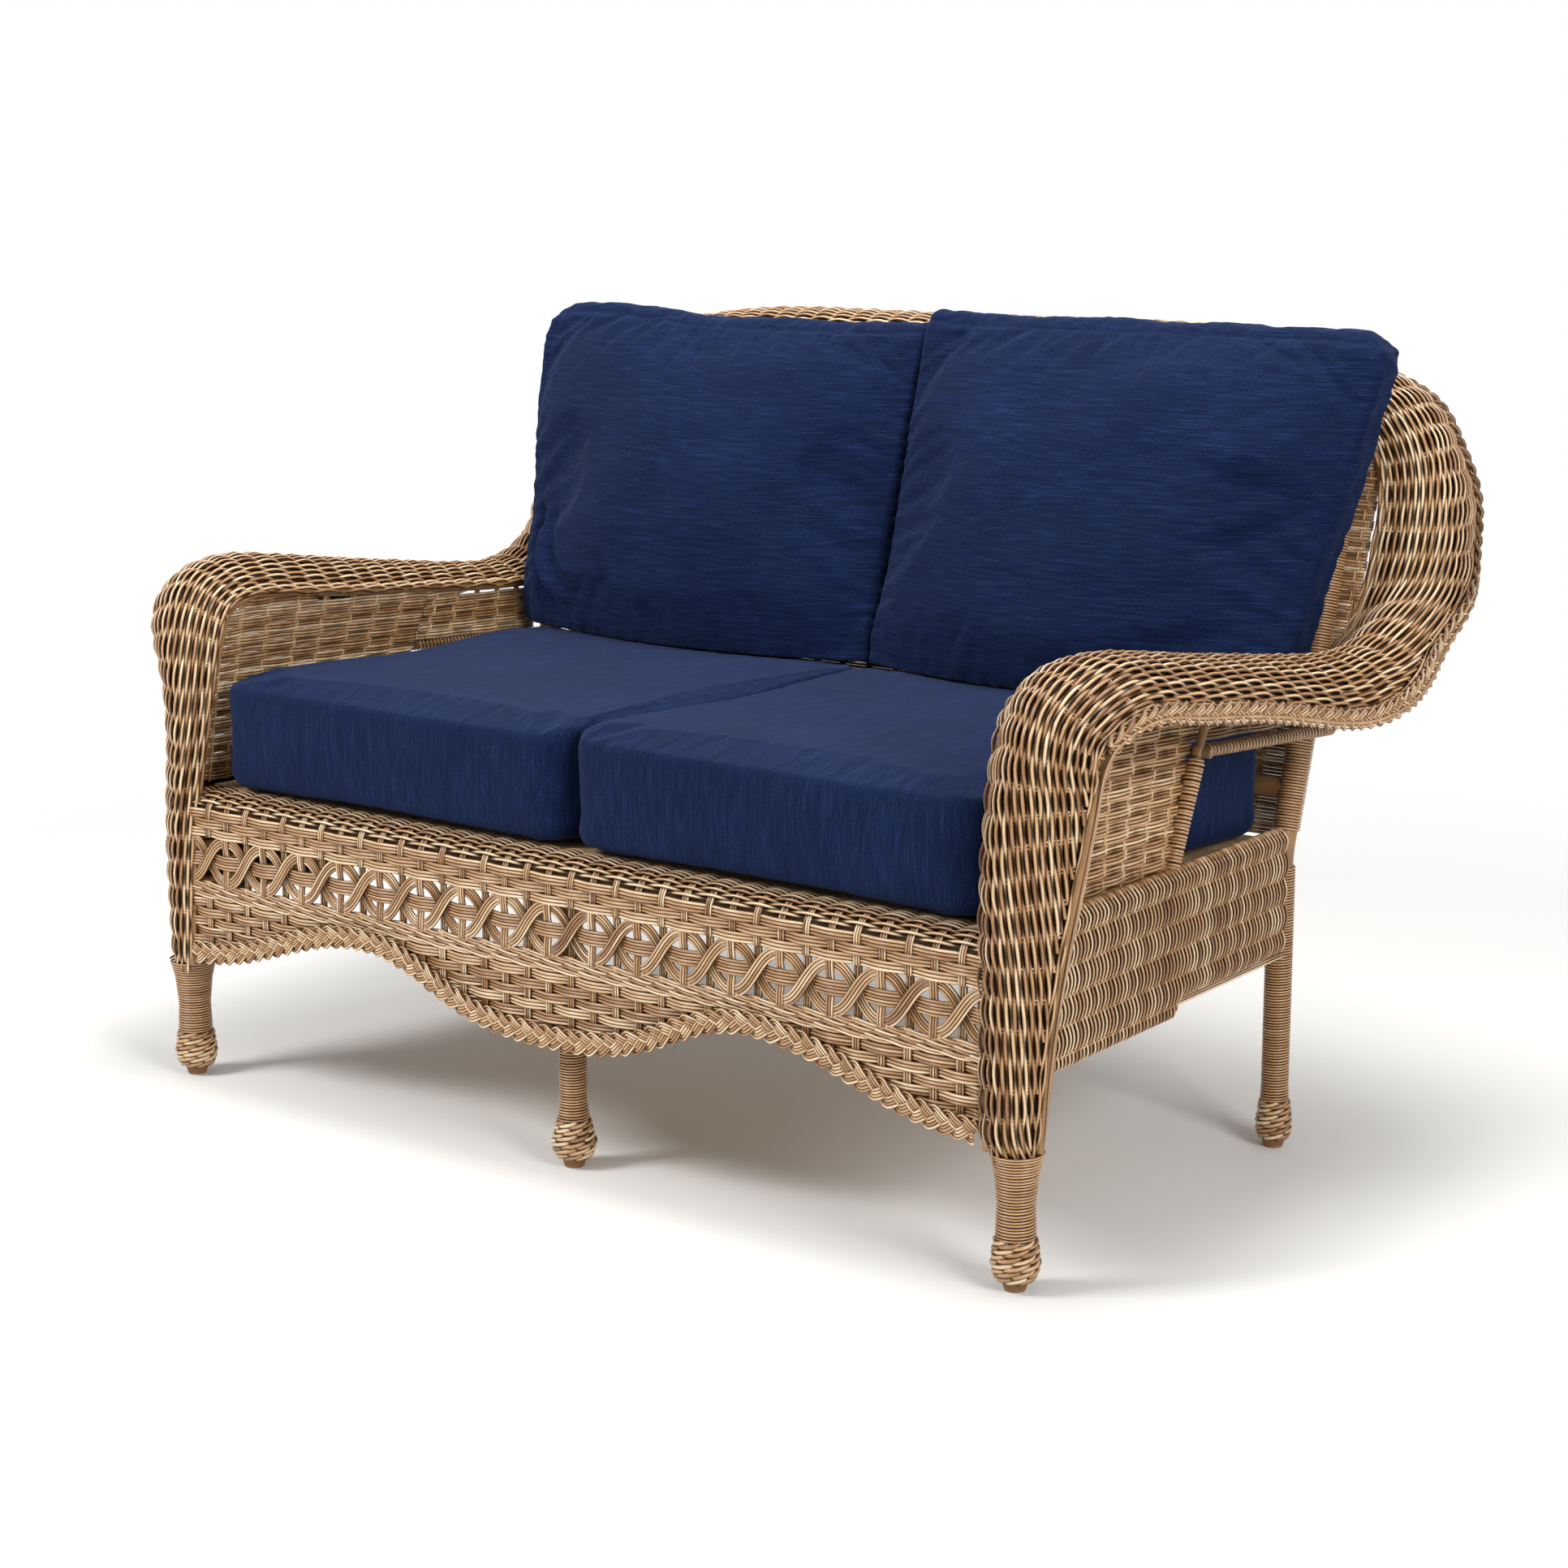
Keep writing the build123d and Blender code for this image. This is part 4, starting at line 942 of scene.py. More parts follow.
# Three dense twined rows under the lattice: two strands wind round each other, half a turn for each stake
fine = np.arange(-apron_half - overrun, apron_half + overrun, stake / 10)
for k, z in enumerate((0.2405, 0.2345, 0.2285)):
    for twin in (0, 1):
        angle = math.pi * fine / stake + math.pi * (twin + 0.4 * k)
        line = np.stack([fine, face_y - 2.0 * MM * np.sin(angle), z + 1.4 * MM * np.cos(angle)], axis=1)
        weave.bundle(line, FORWARD, 2, 3.2, 3.5, 3.0)
weave.piece("apron_lattice", wicker, "front_apron")

# The basket weave below, clipped by the hem
weave = Weave()
run = np.arange(-overrun, apron.length + overrun, stake / 5)
x_at = run - apron_half
for k, z in enumerate(np.arange(0.2185, 0.155, -0.0112)):
    for some in stretches(z > hem_height(x_at) + 0.004, 4):
        x = x_at[some]
        wave = over_under(x, stake, k)
        line = np.stack([x, face_y - 2.8 * MM * wave, x * 0 + z], axis=1)
        weave.bundle(line, FORWARD, 3, 3.75, 4.0, 3.2, tucked(wave, 0.62))
for x in places_x:
    z = np.linspace(float(hem_height(x)), lattice_low, 6)
    weave.bundle(np.stack([z * 0 + x, z * 0 + face_y, z], axis=1), FORWARD, 3, 3.3, 3.3, 2.9)
# A thin dark sheet of painted shade behind the bundles
share = np.linspace(0, 1, 5)
x = x_at[:, None] + 0 * share
z = (hem_height(x_at) + 0.001)[:, None] * (1 - share) + 0.238 * share
weave.core(np.stack([x, x * 0 + face_y + 1.6 * MM, z], axis=-1), FORWARD)
weave.piece("apron_basket_weave", wicker, "front_apron")

# The hem: a wide three-part plait along the scallops
weave = Weave()
braid(weave, hem_line + 0.0045 * FORWARD, FORWARD, period_mm=51, swing_mm=7.6, lift_mm=3.0, strands=4, pitch_mm=3.2,
      wide_mm=3.4, thick_mm=3.0)
weave.piece("apron_hem_braid", wicker, "apron_braid")


# Side skirts: upright strands over level lines between the legs

row = 29 * MM
hem_turn = 0.005
rail_turn = 0.010
skirt_out = 0.0133
for side, name in ((1, "right"), (-1, "left")):
    (_, front, foot), (_, rear, top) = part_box("side_skirt_" + name)
    weave = Weave()
    ys = np.arange(front + 0.002, rear, 3.55 * MM)
    ys = ys + chance.normal(size=len(ys)) * 0.2 * MM
    odd = np.arange(len(ys))[:, None]
    outside = np.array([side * 1.0, 0.0, 0.0])
    # The lower edge hangs lower in front of the stay. Strands come round the lowest rod, up the outside and over
    # the seat rail: a half circle, an upright with the weave's wave on it, and a quarter circle.
    bottoms = (foot + 0.018 * np.clip((ys - stay_foot[1] + 0.006) / 0.012, 0, 1))[:, None]
    bend = np.linspace(math.pi, 2 * math.pi, 7)[None, :-1]
    turn_in = np.linspace(0, math.pi / 2, 5)[None, 1:]
    share = np.linspace(0, 1, 30)[None, :]
    upright = (bottoms + hem_turn) * (1 - share) + (top - rail_turn) * share
    level = np.concatenate([
        bottoms + hem_turn + hem_turn * np.sin(bend), upright,
        top - rail_turn + rail_turn * np.sin(turn_in) + 0 * bottoms,
    ], axis=1)
    inward = np.concatenate([
        hem_turn - hem_turn * np.cos(bend) + 0 * bottoms, upright * 0,
        rail_turn - rail_turn * np.cos(turn_in) + 0 * bottoms,
    ], axis=1)
    wave = over_under(level - foot, row, odd)
    climb = np.sin(math.pi * (level - foot) / row + math.pi * odd)
    fade = np.clip((level - bottoms) / 0.012, 0, 1) * np.clip((top - level) / 0.012, 0, 1)
    x = side * (side_line_x(ys)[:, None] + skirt_out - inward + 2.9 * MM * wave * fade)
    lines = np.stack([x, ys[:, None] + (1.9 * wave - 0.7 * climb) * MM * fade, level], axis=-1)
    weave.lay(lines, outside, 3.9, 3.3, (0.5 - 0.5 * wave) * fade)
    # A thin dark sheet of painted shade behind the upright strands
    low_z = bottoms + 0.004
    share = np.linspace(0, 1, 6)[None, :]
    z = low_z + share * (top - 0.006 - low_z)
    y = ys[:, None] + 0 * share
    weave.core(np.stack([side * (side_line_x(y) + skirt_out - 1.3 * MM), y, z], axis=-1), outside)
    y = np.linspace(front, rear, 12)
    for z in np.arange(foot + row / 2, top - 0.01, row):
        line = np.stack([side * (side_line_x(y) + 0.0128), y, y * 0 + z], axis=1)
        weave.bundle(line, outside, 2, 3.4, 3.0, 2.8, 0.2)
    weave.piece("side_skirt_weave_" + name, wicker, "side_skirt_" + name)


# Wound legs with woven bulbs

def wind(weave, start, end, shares, radii, pitch_mm, wide_mm, thick_mm, waver_mm=0.15):
    """A strand wound round an axis from start to end: its middle goes round a circle whose radius follows the radii
    at shares of the way, while it moves on by the pitch each turn, with a slow waver."""
    start = np.array(start)
    end = np.array(end)
    axis = unit(end - start)
    reach = np.linalg.norm(end - start)
    side = unit(np.cross(axis, [0.31, 0.95, 0.05]))
    other = np.cross(axis, side)
    angle = np.arange(0, reach / (pitch_mm * MM) * 2 * math.pi, 2 * math.pi / 18)
    along = angle / (2 * math.pi) * pitch_mm * MM
    slow = waver_mm * MM * np.sin(angle * 0.37 + start[0] * 9) * np.sin(angle * 0.113 + start[1] * 5)
    radius = np.interp(along / reach, shares, radii)[:, None]
    out = side * np.cos(angle)[:, None] + other * np.sin(angle)[:, None]
    line = start + axis * (along + slow)[:, None] + out * radius
    weave.lay(line, out, wide_mm, thick_mm, shade=0.40)


def bulb(weave, x, y, low_z, high_z, neck, belly, foot, around, rows=6):
    """Rows of short thick strands round the foot. Each climbs one row while it goes round by a share of a turn,
    and its middle bulges out by a half sine, so that its ends tuck under its neighbours."""
    share = np.linspace(0, 1, 9)
    heights = np.linspace(low_z, high_z, rows + 1)
    span = heights[1] - heights[0]
    places = [0, 0.12, 0.42, 0.8, 1.0]
    radii = [foot, (foot + belly) / 2 + 0.002, belly, neck + 0.001, neck]
    for r in range(rows):
        radius = np.interp((r + 0.5) / rows, places, radii)
        start = 2 * math.pi * (np.arange(around) + 0.5 * (r % 2)) / around
        angle = start[:, None] + share[None, :] * 2 * math.pi / around * 1.7
        z = heights[r] + span * (share[None, :] * 0.95 + 0.05) + 0 * angle
        local = np.interp((z - low_z) / (high_z - low_z), places, radii)
        distance = (local + radius) / 2 + 2.7 * MM * (np.sin(math.pi * share[None, :]) - 0.65)
        out = np.stack([np.cos(angle), np.sin(angle), 0 * angle], axis=-1)
        line = out * distance[..., None] + np.array([x, y, 0.0]) + np.array([0, 0, 1.0]) * z[..., None]
        # Painted shade on the ends, where they tuck under their neighbours
        weave.lay(line, out, 5.4, 4.6, 0.85 * (1 - np.sin(math.pi * share)) ** 1.5)


# Each kind of leg: how far its winding goes on above the node, the winding's radii at shares of the way up, and
# its bulb's neck, belly and foot radii and the strands round it
leg_kinds = {
    "front": (0.003, [0, 0.42, 0.76, 0.96, 1], [0.0192, 0.0178, 0.0210, 0.0255, 0.0272], (0.0195, 0.0225, 0.0140, 8)),
    "center": (0.0, [0, 0.2, 1], [0.0170, 0.0142, 0.0140], (0.0170, 0.0225, 0.0140, 8)),
    "rear": (0.0, [0, 0.08, 1], [0.0150, 0.0140, 0.0140], (0.0150, 0.0180, 0.0135, 7)),
}
bulb_low, bulb_high, winding_low = 0.011, 0.053, 0.050
for node, x, y in (
    ("front_leg_wrap_right", front_leg_x, front_line), ("front_leg_wrap_left", -front_leg_x, front_line),
    ("center_leg_wrap", 0.0, center_line),
    ("rear_leg_wrap_right", rear_leg_x, rear_line), ("rear_leg_wrap_left", -rear_leg_x, rear_line),
):
    over, shares, radii, bulb_sizes = leg_kinds[node.split("_")[0]]
    weave = Weave()
    wind(weave, (x, y, winding_low), (x, y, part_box(node)[1][2] + over), shares, radii, 3.1, 2.8, 2.9)
    bulb(weave, x, y, bulb_low, bulb_high, *bulb_sizes)
    weave.piece(node.replace("wrap", "winding"), wicker, node)

# The rear posts above the rails, the braces and the feet of the stays are wound too
for side, name in ((1, "right"), (-1, "left")):
    weave = Weave()
    post = [(side * rear_leg_x, lower[1] + lean * (z - lower[2]), z) for z in (0.355, 0.790)]
    brace = flipped(np.array([
        (brace_low[0] + 0.006, brace_low[1] + 0.002, brace_high[2] - 0.006),
        (brace_high[0] - 0.006, brace_high[1] - 0.001, brace_low[2] + 0.006),
    ]), side)
    stay = flipped(np.array([stay_foot + np.array([0, 0, 0.014]), stay_foot + (stay_head - stay_foot) * 0.60]), side)
    for (start, end), radius, sizes in (
        (post, 0.0139, (3.2, 3.1, 2.6, 0.15)), (brace, 0.0066, (6.4, 6.1, 1.5, 0.0)),
        (stay, 0.0078, (3.8, 3.9, 3.4, 0.6)),
    ):
        wind(weave, start, end, [0, 1], [radius, radius], *sizes)
    weave.piece("post_and_brace_winding_" + name, wicker)


# Finishes for the parts that stay as they are

finishes = (("glide", glide), ("screw", zinc), ("deck", webbing), ("", tube))
for name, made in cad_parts.items():
    made.data.materials.clear()
    made.data.materials.append(next(finish for word, finish in finishes if word in name))


# Cushions: sewn covers blown up by their filling

def cad_copy(node, name):
    """A welded copy of a cushion's CAD solid as a new object."""
    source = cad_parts[node]
    mesh = source.data.copy()
    mesh.name = name
    made = bpy.data.objects.new(name, mesh)
    bpy.context.scene.collection.objects.link(made)
    made.matrix_world = source.matrix_world
    work = bmesh.new()
    work.from_mesh(mesh)
    bmesh.ops.remove_doubles(work, verts=work.verts, dist=0.0002)
    bmesh.ops.recalc_face_normals(work, faces=work.faces)
    work.to_mesh(mesh)
    work.free()
    mesh.materials.clear()
    return made


def applied(made):
    """Turns an object's modified shape into its own mesh."""
    graph = bpy.context.evaluated_depsgraph_get()
    mesh = bpy.data.meshes.new_from_object(made.evaluated_get(graph))
    old = made.data
    made.modifiers.clear()
    made.data = mesh
    bpy.data.meshes.remove(old)


def vectors(made, kind):
    """The mesh's points, where kind is co, or the directions outward at them, where it is normal."""
    out = np.empty(len(made.data.vertices) * 3)
    made.data.vertices.foreach_get(kind, out)
    return out.reshape(-1, 3)


def set_positions(made, points):
    """Moves the mesh's points."""
    made.data.vertices.foreach_set("co", points.ravel())
    made.data.update()


def nearest(points, line):
    """Distance from each point to the nearest point of a line, and that point's place on the line, from the square
    of a difference: the two squares less twice the product."""
    squares = (points**2).sum(axis=1)[:, None] + (line**2).sum(axis=1)[None, :] - 2 * points @ line.T
    index = squares.argmin(axis=1)
    return np.linalg.norm(points - line[index], axis=1), index


def closed_line(points, step_mm):
    """Even points round a closed polygon."""
    ring = np.concatenate([points, points[:1]])
    return spaced(ring, int(lengths(ring)[-1] / (step_mm * MM)))


def blown(made, held, spare, pressure=2.5, cap_mm=9):
    """Cloth held along its seams and blown up from inside, with some spare cloth so that it gathers. How far it
    moves is then capped."""
    before = vectors(made, "co")
    group = made.vertex_groups.new(name="seams")
    for index in np.flatnonzero(held):
        group.add([int(index)], 1.0, "REPLACE")
    cloth = made.modifiers.new("cover", "CLOTH")
    for key, value in {
        "quality": 4, "mass": 0.3, "tension_stiffness": 12, "compression_stiffness": 12, "shear_stiffness": 6,
        "bending_stiffness": 0.4, "use_pressure": True, "uniform_pressure_force": pressure, "shrink_min": -spare,
        "vertex_group_mass": "seams",
    }.items():
        setattr(cloth.settings, key, value)
    cloth.settings.effector_weights.gravity = 0
    cloth.collision_settings.use_collision = False
    scene = bpy.context.scene
    for step in range(1, 21):
        scene.frame_set(step)
    applied(made)
    moved = vectors(made, "co") - before
    far = np.linalg.norm(moved, axis=1, keepdims=True)
    set_positions(made, before + moved * np.minimum(1, cap_mm * MM / np.maximum(far, 1e-9)))
    scene.frame_set(1)


# Rows of a back cushion going up: shares of its height, width, border and crown, and of the border at the rear
back_rows = np.array([
    (0.00, 0.86, 0.60, 0.55, 0.28), (0.03, 0.89, 0.85, 0.80, 0.11), (0.08, 0.905, 1.00, 0.94, 0.03),
    (0.18, 0.92, 1.00, 1.02, 0.00), (0.35, 0.94, 1.00, 1.06, 0.00), (0.52, 0.97, 1.00, 1.00, 0.00),
    (0.68, 0.99, 1.00, 0.84, 0.00), (0.81, 1.00, 1.00, 0.60, 0.00), (0.90, 1.00, 1.00, 0.38, 0.00),
    (0.96, 0.985, 0.93, 0.22, 0.05), (1.00, 0.94, 0.50, 0.08, 0.33),
])
border_depth = 0.046
crown_depth = 0.074
inner_tuck_share = 0.12

seam_step_mm = 3.0
seat_radius = 0.042
# Going in from the edge of a seat cushion, as shares of its thickness: how high the CAD solid and the cover stand
seat_inset_shares = np.array([0.00, 0.02, 0.07, 0.15, 0.30, 0.60, 1.10])
seat_solid_shares = np.array([0.76, 0.84, 0.90, 0.94, 0.965, 0.985, 1.00])
seat_cover_shares = np.array([0.84, 0.925, 0.965, 0.982, 0.990, 0.996, 1.00])


def inset_of(points, low, high):
    """Distance in from a rounded rectangle: its radius less the length of what is outside the inner rectangle."""
    over = np.abs(points[:, :2] - (low + high)[:2] / 2) - ((high - low)[:2] / 2 - seat_radius)
    outside = np.linalg.norm(np.maximum(over, 0), axis=1) + np.minimum(over.max(axis=1), 0)
    return np.maximum(seat_radius - outside, 0)


def fill_out(points, low, high):
    """Lifts the top of a seat cushion from its solid's profile to the fuller one of a boxed cover, which keeps its
    height right up to the middle of the settee, where the two covers press together."""
    thick = high[2] - low[2]
    solid = inset_of(points, low, high) / thick
    right = low[0] + high[0] > 0
    reach = np.array([0.022, 0.0, 0.0])
    cover = inset_of(points, low - reach if right else low, high if right else high + reach) / thick
    gain = np.interp(cover, seat_inset_shares, seat_cover_shares)
    gain -= np.interp(solid, seat_inset_shares, seat_solid_shares)
    upper = np.clip(((points[:, 2] - low[2]) / thick - 0.68) / 0.10, 0, 1)
    points[:, 2] += gain * upper * thick
    return points


def seat_seams(side):
    """Two level loops round the border, just inside its lower and upper edges: four quarter circles and what is
    straight between them."""
    low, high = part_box("seat_cushion_" + side)
    turn = np.linspace(0, math.pi / 2, 7)
    right, left = high[0] - seat_radius, low[0] + seat_radius
    rear, front = high[1] - seat_radius, low[1] + seat_radius
    corners = []
    for k, (x, y) in enumerate(((right, rear), (left, rear), (left, front), (right, front))):
        angle = turn + k * math.pi / 2
        corners.append(np.stack([
            x + seat_radius * np.cos(angle), y + seat_radius * np.sin(angle), 0 * angle,
        ], axis=1))
    ring = np.concatenate(corners)
    thick = high[2] - low[2]
    return [closed_line(ring + np.array([0, 0, low[2] + share * thick]), seam_step_mm) for share in (0.10, 0.885)]


def back_seams(side, rear_at):
    """Two upright loops, where the border meets the crowned front and the back."""
    low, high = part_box("back_cushion_" + side)
    height = high[2] - low[2]
    full = high[0] - low[0]
    sign = 1 if side == "right" else -1
    loops = []
    for ahead, top, bottom in ((1.0, 0.972, 0.02), (0.0, 0.972, 0.03)):
        share = np.linspace(bottom, top, 40)
        row = [np.interp(share, back_rows[:, 0], back_rows[:, k]) for k in range(5)]
        z = low[2] + share * height
        inner = sign * (1 - row[1]) * full * inner_tuck_share + (low[0] if sign > 0 else high[0])
        outer = inner + sign * row[1] * full
        y = rear_at(z) - ahead * row[2] * border_depth
        up = np.stack([outer, y, z], axis=1)
        down = np.stack([inner, y, z], axis=1)[::-1]
        across = np.linspace(0, 1, 30)[1:-1, None]
        bulge = np.array([0, -1.0, 0]) * 4 * across * (1 - across) * ahead * crown_depth
        top_line = up[-1] * (1 - across) + down[0] * across + bulge * row[3][-1]
        low_line = down[-1] * (1 - across) + up[0] * across + bulge * row[3][0]
        loops.append(closed_line(np.concatenate([up, top_line, down, low_line]), seam_step_mm))
    return loops


def dent(points, start, bend, end, depth_mm, wide_mm):
    """A crease along a bow from start over bend to end, all in x and z: its depth falls off as a bell across it and
    fades to nothing at both ends, and a low ridge stands beside it."""
    share = np.linspace(0, 1, 40)[:, None]
    line = (1 - share) ** 2 * np.array(start) + 2 * share * (1 - share) * np.array(bend) + share**2 * np.array(end)
    flat = points[:, [0, 2]]
    away, index = nearest(flat, line)
    fade = np.sin(math.pi * (0.04 + 0.92 * index / 39)) ** 0.7
    direction = np.gradient(line, axis=0)[index]
    offset = flat - line[index]
    turned = np.sign(direction[:, 0] * offset[:, 1] - direction[:, 1] * offset[:, 0]) * away
    wide = wide_mm * MM
    deep = -np.exp(-((away / wide) ** 2)) * depth_mm
    ridge = np.exp(-(((turned - 1.9 * wide) / (1.3 * wide)) ** 2)) * depth_mm * 0.5
    return (deep + ridge) * fade * MM


def waves(points, seed, long_mm, high_mm):
    """Soft hollows and swellings: a sum of nine plane waves in seeded directions."""
    draw = np.random.default_rng(seed)
    total = np.zeros(len(points))
    for _ in range(9):
        direction = unit(draw.normal(size=3)) / (long_mm * MM * draw.uniform(0.7, 1.6)) * 2 * math.pi
        total += np.sin(points @ direction + draw.uniform(0, 2 * math.pi)) / 3
    return total * high_mm * MM


def gathers(run, away, number):
    """Gathers beside a seam: a sine of the run every 17 mm, pushed to and fro by one every 71 mm, made uneven by one
    every 230 mm, and strongest 10 mm away from the seam."""
    ripple = np.sin(run / 0.017 * 2 * math.pi + 1.7 * np.sin(run / 0.071 * 2 * math.pi))
    uneven = 0.55 + 0.45 * np.sin(run / 0.23 * 2 * math.pi + number)
    return ripple * uneven * np.exp(-((away - 0.010) / 0.010) ** 2)


def drawn(points, x, z, reach, pull_mm):
    """Points pulled by so many millimetres round a corner seen from the front: a bell of the distance over reach."""
    near = np.exp(-((np.linalg.norm(points[:, [0, 2]] - np.array([x, z]), axis=1) / reach) ** 2))
    return points + near[:, None] * (np.array(pull_mm) * MM)


def sat_in(points, side, sign, low, high):
    """A back cushion's shape from use: its upper corners are drawn out, its outer side is full, its lower corners
    spread, and its lower edge settles onto the seat. The left one sags between its outer corner and its neighbour,
    so that the crest shows over it."""
    outer, inner = (high[0], low[0]) if sign > 0 else (low[0], high[0])
    out_mm, down_mm = (11, 4) if side == "right" else (6, 9)
    points = drawn(points, outer, high[2], 0.05, (sign * out_mm, 0, -down_mm))
    points = drawn(points, inner, high[2], 0.05, (-sign * 2, 0, 3))
    points[:, 0] += sign * 7 * MM * np.clip((sign * points[:, 0] - 0.35) / 0.25, 0, 1)
    points = drawn(points, outer, low[2] + 0.03, 0.09, (sign * 9, -8, 0))
    points = drawn(points, inner, low[2] + 0.01, 0.06, (-sign * 10, -3, 0))
    if side == "left":
        along = np.clip((points[:, 0] - low[0]) / (high[0] - low[0]) / 0.55, 0, 1)
        upward = np.clip((points[:, 2] - low[2] - 0.1) / (high[2] - low[2] - 0.1), 0, 1)
        points[:, 2] -= 16 * MM * np.sin(math.pi / 2 * along) ** 2 * upward**1.5
    settle = np.clip((points[:, 2] - low[2]) / 0.040, 0, 1)
    points[:, 2] = np.where(settle < 1, low[2] - 0.001 + 0.041 * settle**2.6, points[:, 2])
    return points


def creases(side, number, low, high):
    """A back cushion's creases for dent: three that the photograph shows, placed from its lower outer corner, and a
    row of small puckers under the upper seam."""
    z = low[2]
    if side == "left":
        x = low[0]
        spots = [
            ((x + 0.060, z + 0.140), (x + 0.062, z + 0.055), (x + 0.150, z + 0.018), 26.0, 9.5),
            ((x + 0.095, z + 0.145), (x + 0.098, z + 0.080), (x + 0.160, z + 0.050), 6.0, 9.0),
            ((x + 0.215, z + 0.095), (x + 0.228, z + 0.080), (x + 0.236, z + 0.055), 2.5, 7.0),
        ]
    else:
        x = high[0]
        spots = [
            ((x - 0.160, z + 0.262), (x - 0.115, z + 0.236), (x - 0.070, z + 0.240), 5.5, 12.0),
            ((x - 0.135, z + 0.172), (x - 0.095, z + 0.178), (x - 0.062, z + 0.202), 6.0, 11.0),
            ((x - 0.190, z + 0.062), (x - 0.140, z + 0.064), (x - 0.090, z + 0.090), 4.5, 14.0),
        ]
    top = high[2] - 0.012
    for start in np.arange(0.06, high[0] - low[0] - 0.05, 0.083):
        x = low[0] + start + 0.02 * math.sin(start * 90 + number)
        spots.append(((x, top), (x - 0.016, top - 0.006), (x - 0.034, top - 0.026), 1.6, 4.5))
    return spots


# The two kinds of cushion, in metres where no unit is named: the voxels of the remesh, how far the cloth starts
# inside the solid, its spare share, the heights of its waves and gathers, how far its outer side may stand out,
# and its cover
cushion_kinds = {
    "seat": (0.0070, 1.5, 0.004, 0.9, 0.1, 0.0, seat_cover),
    "back": (0.0066, 0.5, 0.02, 3.0, 0.8, 0.014, back_cover),
}
for number, (kind, side) in enumerate((k, s) for k in ("seat", "back") for s in ("right", "left")):
    voxel, inset_mm, spare, wave_mm, gather_mm, stand_out, cover = cushion_kinds[kind]
    sign = 1 if side == "right" else -1
    node = f"{kind}_cushion_{side}"
    made = cad_copy(node, f"{kind}_pad_{side}")
    solid = vectors(made, "co")
    low, high = (np.array(corner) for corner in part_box(node))
    if kind == "back":
        levels = low[2] + back_rows[:, 0] * (high[2] - low[2])
        rears = np.array([solid[np.abs(solid[:, 2] - z) < 0.0008, 1].max() for z in levels])
    else:
        levels, rears = [low[2], high[2]], [high[1], high[1]]

    def rear_at(z):
        """Depth of the solid's rear at a height, straight between its rows."""
        return np.interp(z, levels, rears)

    seams = seat_seams(side) if kind == "seat" else back_seams(side, rear_at)
    remesh = made.modifiers.new("even", "REMESH")
    remesh.mode = "VOXEL"
    remesh.voxel_size = voxel
    applied(made)
    relax = made.modifiers.new("relax", "SMOOTH")
    relax.factor = 0.5
    relax.iterations = 2
    applied(made)
    points = vectors(made, "co")
    if kind == "seat":
        points = fill_out(points, low, high)
        set_positions(made, points)
    seam = np.concatenate(seams)
    away, _ = nearest(points, seam)
    inset = inset_mm * MM * np.clip(away / 0.03, 0, 1)
    set_positions(made, points - vectors(made, "normal") * inset[:, None])
    blown(made, away < 4.5 * MM, spare)
    divide = made.modifiers.new("divide", "SUBSURF")
    divide.levels = 1
    divide.render_levels = 1
    applied(made)
    # Soft hollows, gathers beside the seams, the seams' own grooves and the creases
    points = vectors(made, "co")
    away, index = nearest(points, seam)
    if kind == "back":
        points = sat_in(points, side, sign, low, high)
    set_positions(made, points)
    shift = waves(points, 40 + number, 170, wave_mm) * np.clip(away / 0.05, 0, 1)
    shift += gather_mm * MM * gathers(index * seam_step_mm * MM, away, number)
    shift -= 1.5 * MM * np.exp(-((away / 0.0032) ** 2))
    if kind == "back":
        front = points[:, 1] < rear_at(points[:, 2]) - 0.03
        for spot in creases(side, number, low, high):
            shift += dent(points, *spot) * front
    moved = points + vectors(made, "normal") * shift[:, None]
    # It stays flat where it rests, and clear of what is beside and behind it
    moved[:, 1] = np.minimum(moved[:, 1], rear_at(moved[:, 2]))
    moved[:, 2] = np.maximum(moved[:, 2], low[2])
    x_low, x_high = (low[0], high[0] + stand_out) if sign > 0 else (low[0] - stand_out, high[0])
    moved[:, 0] = np.clip(moved[:, 0], x_low, x_high)
    if kind == "seat":
        # The back cushion's weight keeps the rear of the seat's top level
        rear = np.clip((moved[:, 1] - high[1] + 0.19) / 0.09, 0, 1)
        rear *= np.clip((moved[:, 2] - high[2] + 0.025) / 0.015, 0, 1)
        moved[:, 2] = np.minimum(moved[:, 2] + (high[2] - moved[:, 2]) * 0.6 * rear, high[2] + 0.0002)
    set_positions(made, moved)
    made.data.polygons.foreach_set("use_smooth", np.ones(len(made.data.polygons), dtype=bool))
    made.data.materials.append(cover)
    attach(made, node)
    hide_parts(node)


# Floor, light and camera

def lamp(name, place, aim, power, size):
    """A soft square lamp turned so that its beam, which leaves it downward, points at the aim."""
    light = bpy.data.lights.new(name, "AREA")
    light.energy = power
    light.shape = "SQUARE"
    light.size = size
    made = bpy.data.objects.new(name, light)
    bpy.context.scene.collection.objects.link(made)
    made.location = place
    x, y, z = np.array(aim) - np.array(place)
    made.rotation_euler = (math.atan2(math.hypot(x, y), -z), 0, math.atan2(y, x) - math.pi / 2)


floor_mesh = bpy.data.meshes.new("studio_floor")
floor_mesh.from_pydata([(-30, -30, 0), (30, -30, 0), (30, 30, 0), (-30, 30, 0)], [], [(0, 1, 2, 3)])
floor = bpy.data.objects.new("studio_floor", floor_mesh)
bpy.context.scene.collection.objects.link(floor)
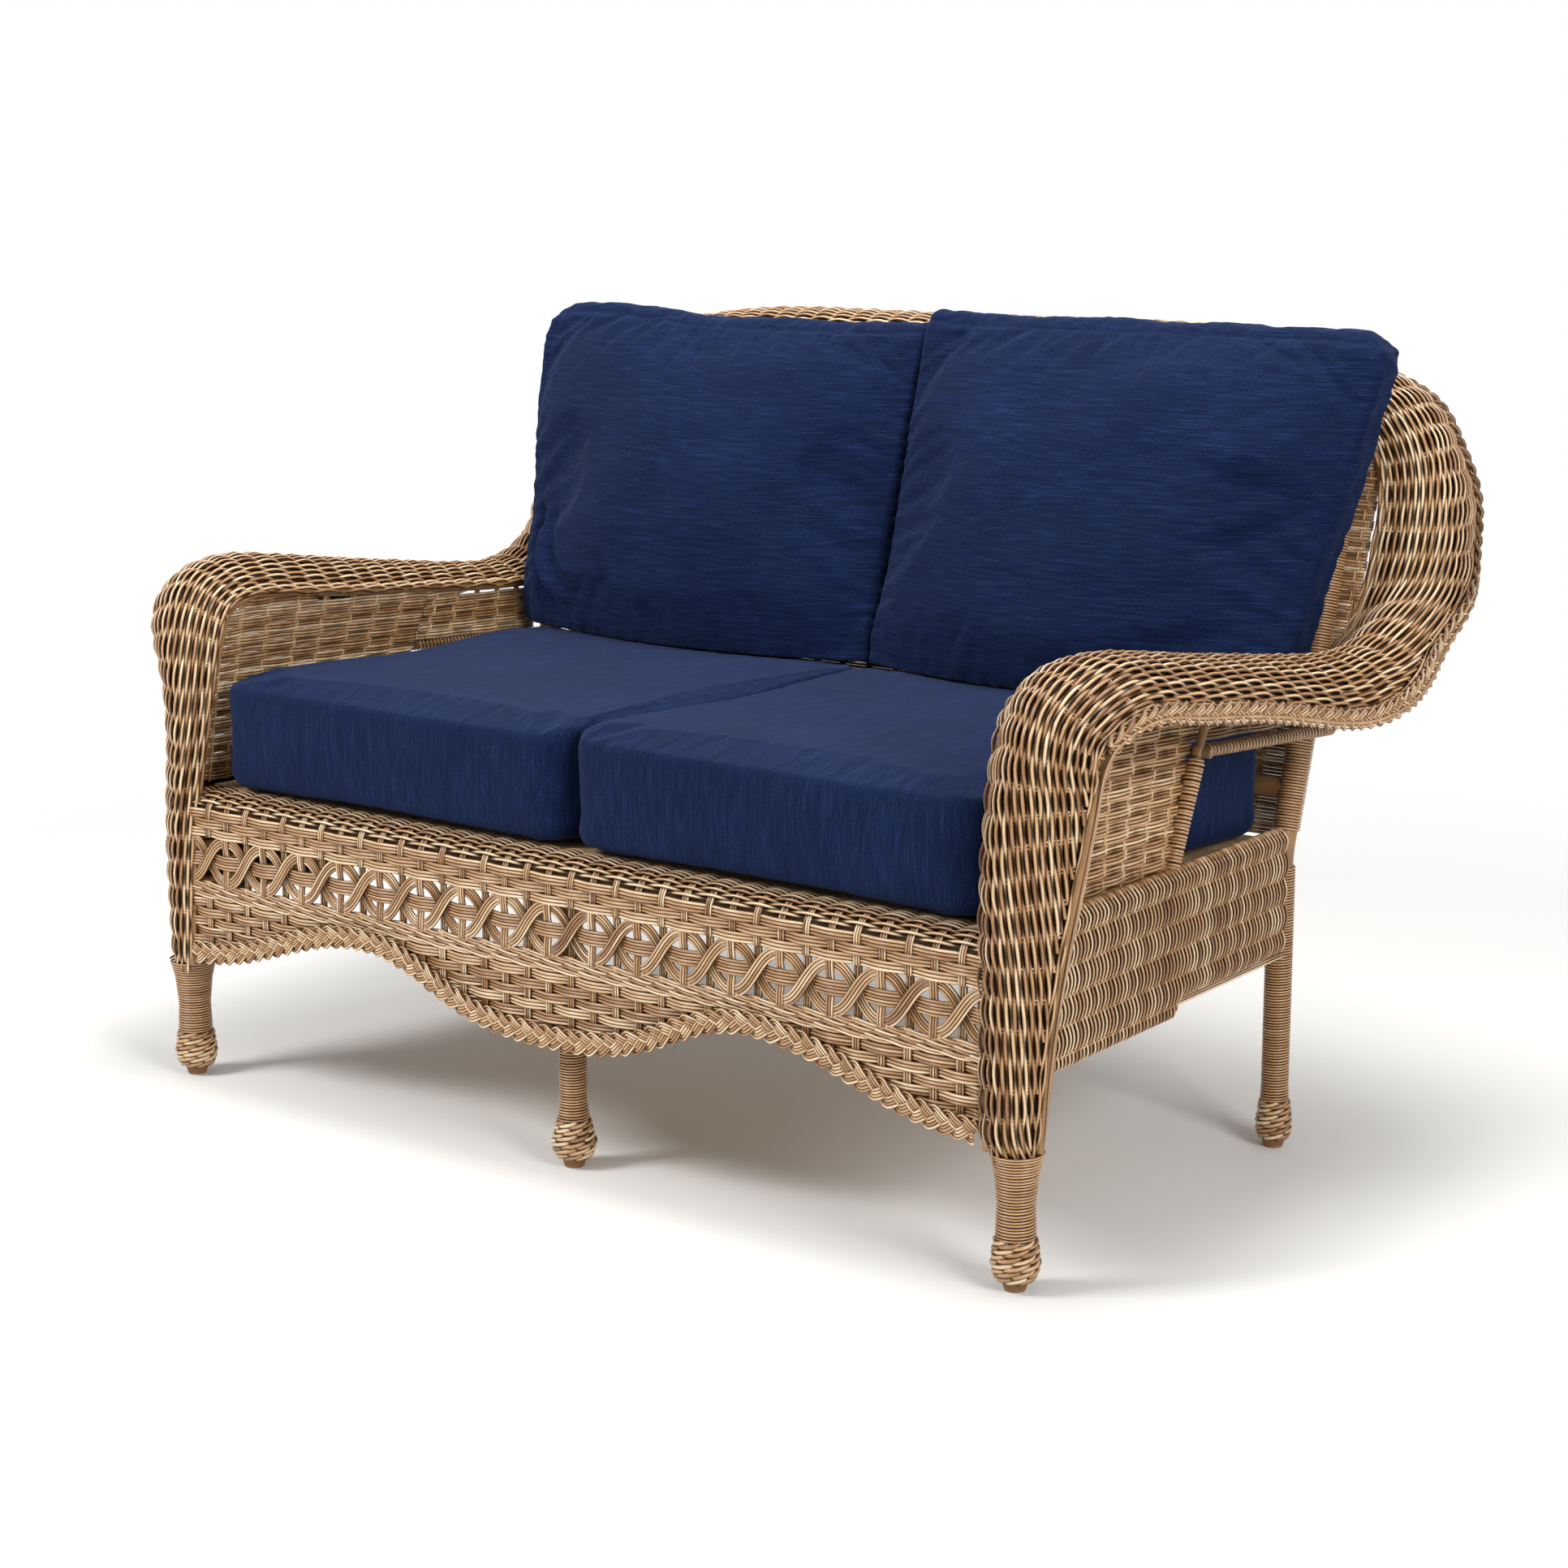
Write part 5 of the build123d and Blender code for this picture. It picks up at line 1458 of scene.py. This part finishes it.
# Matt white paper, lit by the lamps near the settee and running into plain white further out
floor_material, tree, shader = new_material("matt_paper_floor")
feed(tree, shader, {"Base Color": tone("#F4F4F2"), "Roughness": 0.9})
place = add(tree, "ShaderNodeTexCoord").outputs["Object"]
away = add(tree, "ShaderNodeVectorMath", {0: place}, operation="LENGTH").outputs["Value"]
far = add(tree, "ShaderNodeMapRange", {
    "Value": away, "From Min": 0.9, "From Max": 2.2,
}, interpolation_type="SMOOTHSTEP").outputs["Result"]
ray = add(tree, "ShaderNodeLightPath").outputs
white = add(tree, "ShaderNodeEmission", {"Color": (1.0, 1.0, 1.0, 1.0), "Strength": 1.0})
share = add(tree, "ShaderNodeMath", {0: far, 1: ray["Is Camera Ray"]}, operation="MULTIPLY").outputs[0]
both = add(tree, "ShaderNodeMixShader", {0: share, 1: shader.outputs[0], 2: white.outputs[0]})
feed(tree, tree.nodes["Material Output"], {"Surface": both.outputs[0]})
floor_mesh.materials.append(floor_material)

# The world is plain white to the eye and to reflections, and lights the settee at about a third of that
world = bpy.data.worlds.new("studio")
bpy.context.scene.world = world
world.use_nodes = True
tree = world.node_tree
ray = add(tree, "ShaderNodeLightPath").outputs
seen = add(tree, "ShaderNodeMath", {0: ray["Is Camera Ray"], 1: ray["Is Glossy Ray"]}, operation="MAXIMUM").outputs[0]
strength = add(tree, "ShaderNodeMapRange", {"Value": seen, "To Min": 0.36, "To Max": 1.0}).outputs["Result"]
feed(tree, tree.nodes["Background"], {"Strength": strength, "Color": (1.0, 1.0, 1.0, 1.0)})

lamp("key", (-1.6, -2.6, 2.6), (0.0, 0.0, 0.4), 85, 1.2)
lamp("side", (3.2, -1.2, 1.8), (0.2, 0.0, 0.4), 60, 1.2)
lamp("top", (0.2, 0.2, 3.2), (0.0, 0.0, 0.4), 75, 1.5)

camera_data = bpy.data.cameras.new("camera")
camera_data.sensor_width = 36
camera_data.sensor_height = 36
camera_data.lens = 73.11
camera_data.clip_end = 100
camera = bpy.data.objects.new("camera", camera_data)
bpy.context.scene.collection.objects.link(camera)
camera.location = (2.2373, -2.8230, 1.0812)
camera.rotation_euler = (math.radians(78.6906), 0, math.radians(38.6207))
bpy.context.scene.camera = camera
bpy.context.scene.view_settings.view_transform = "Standard"
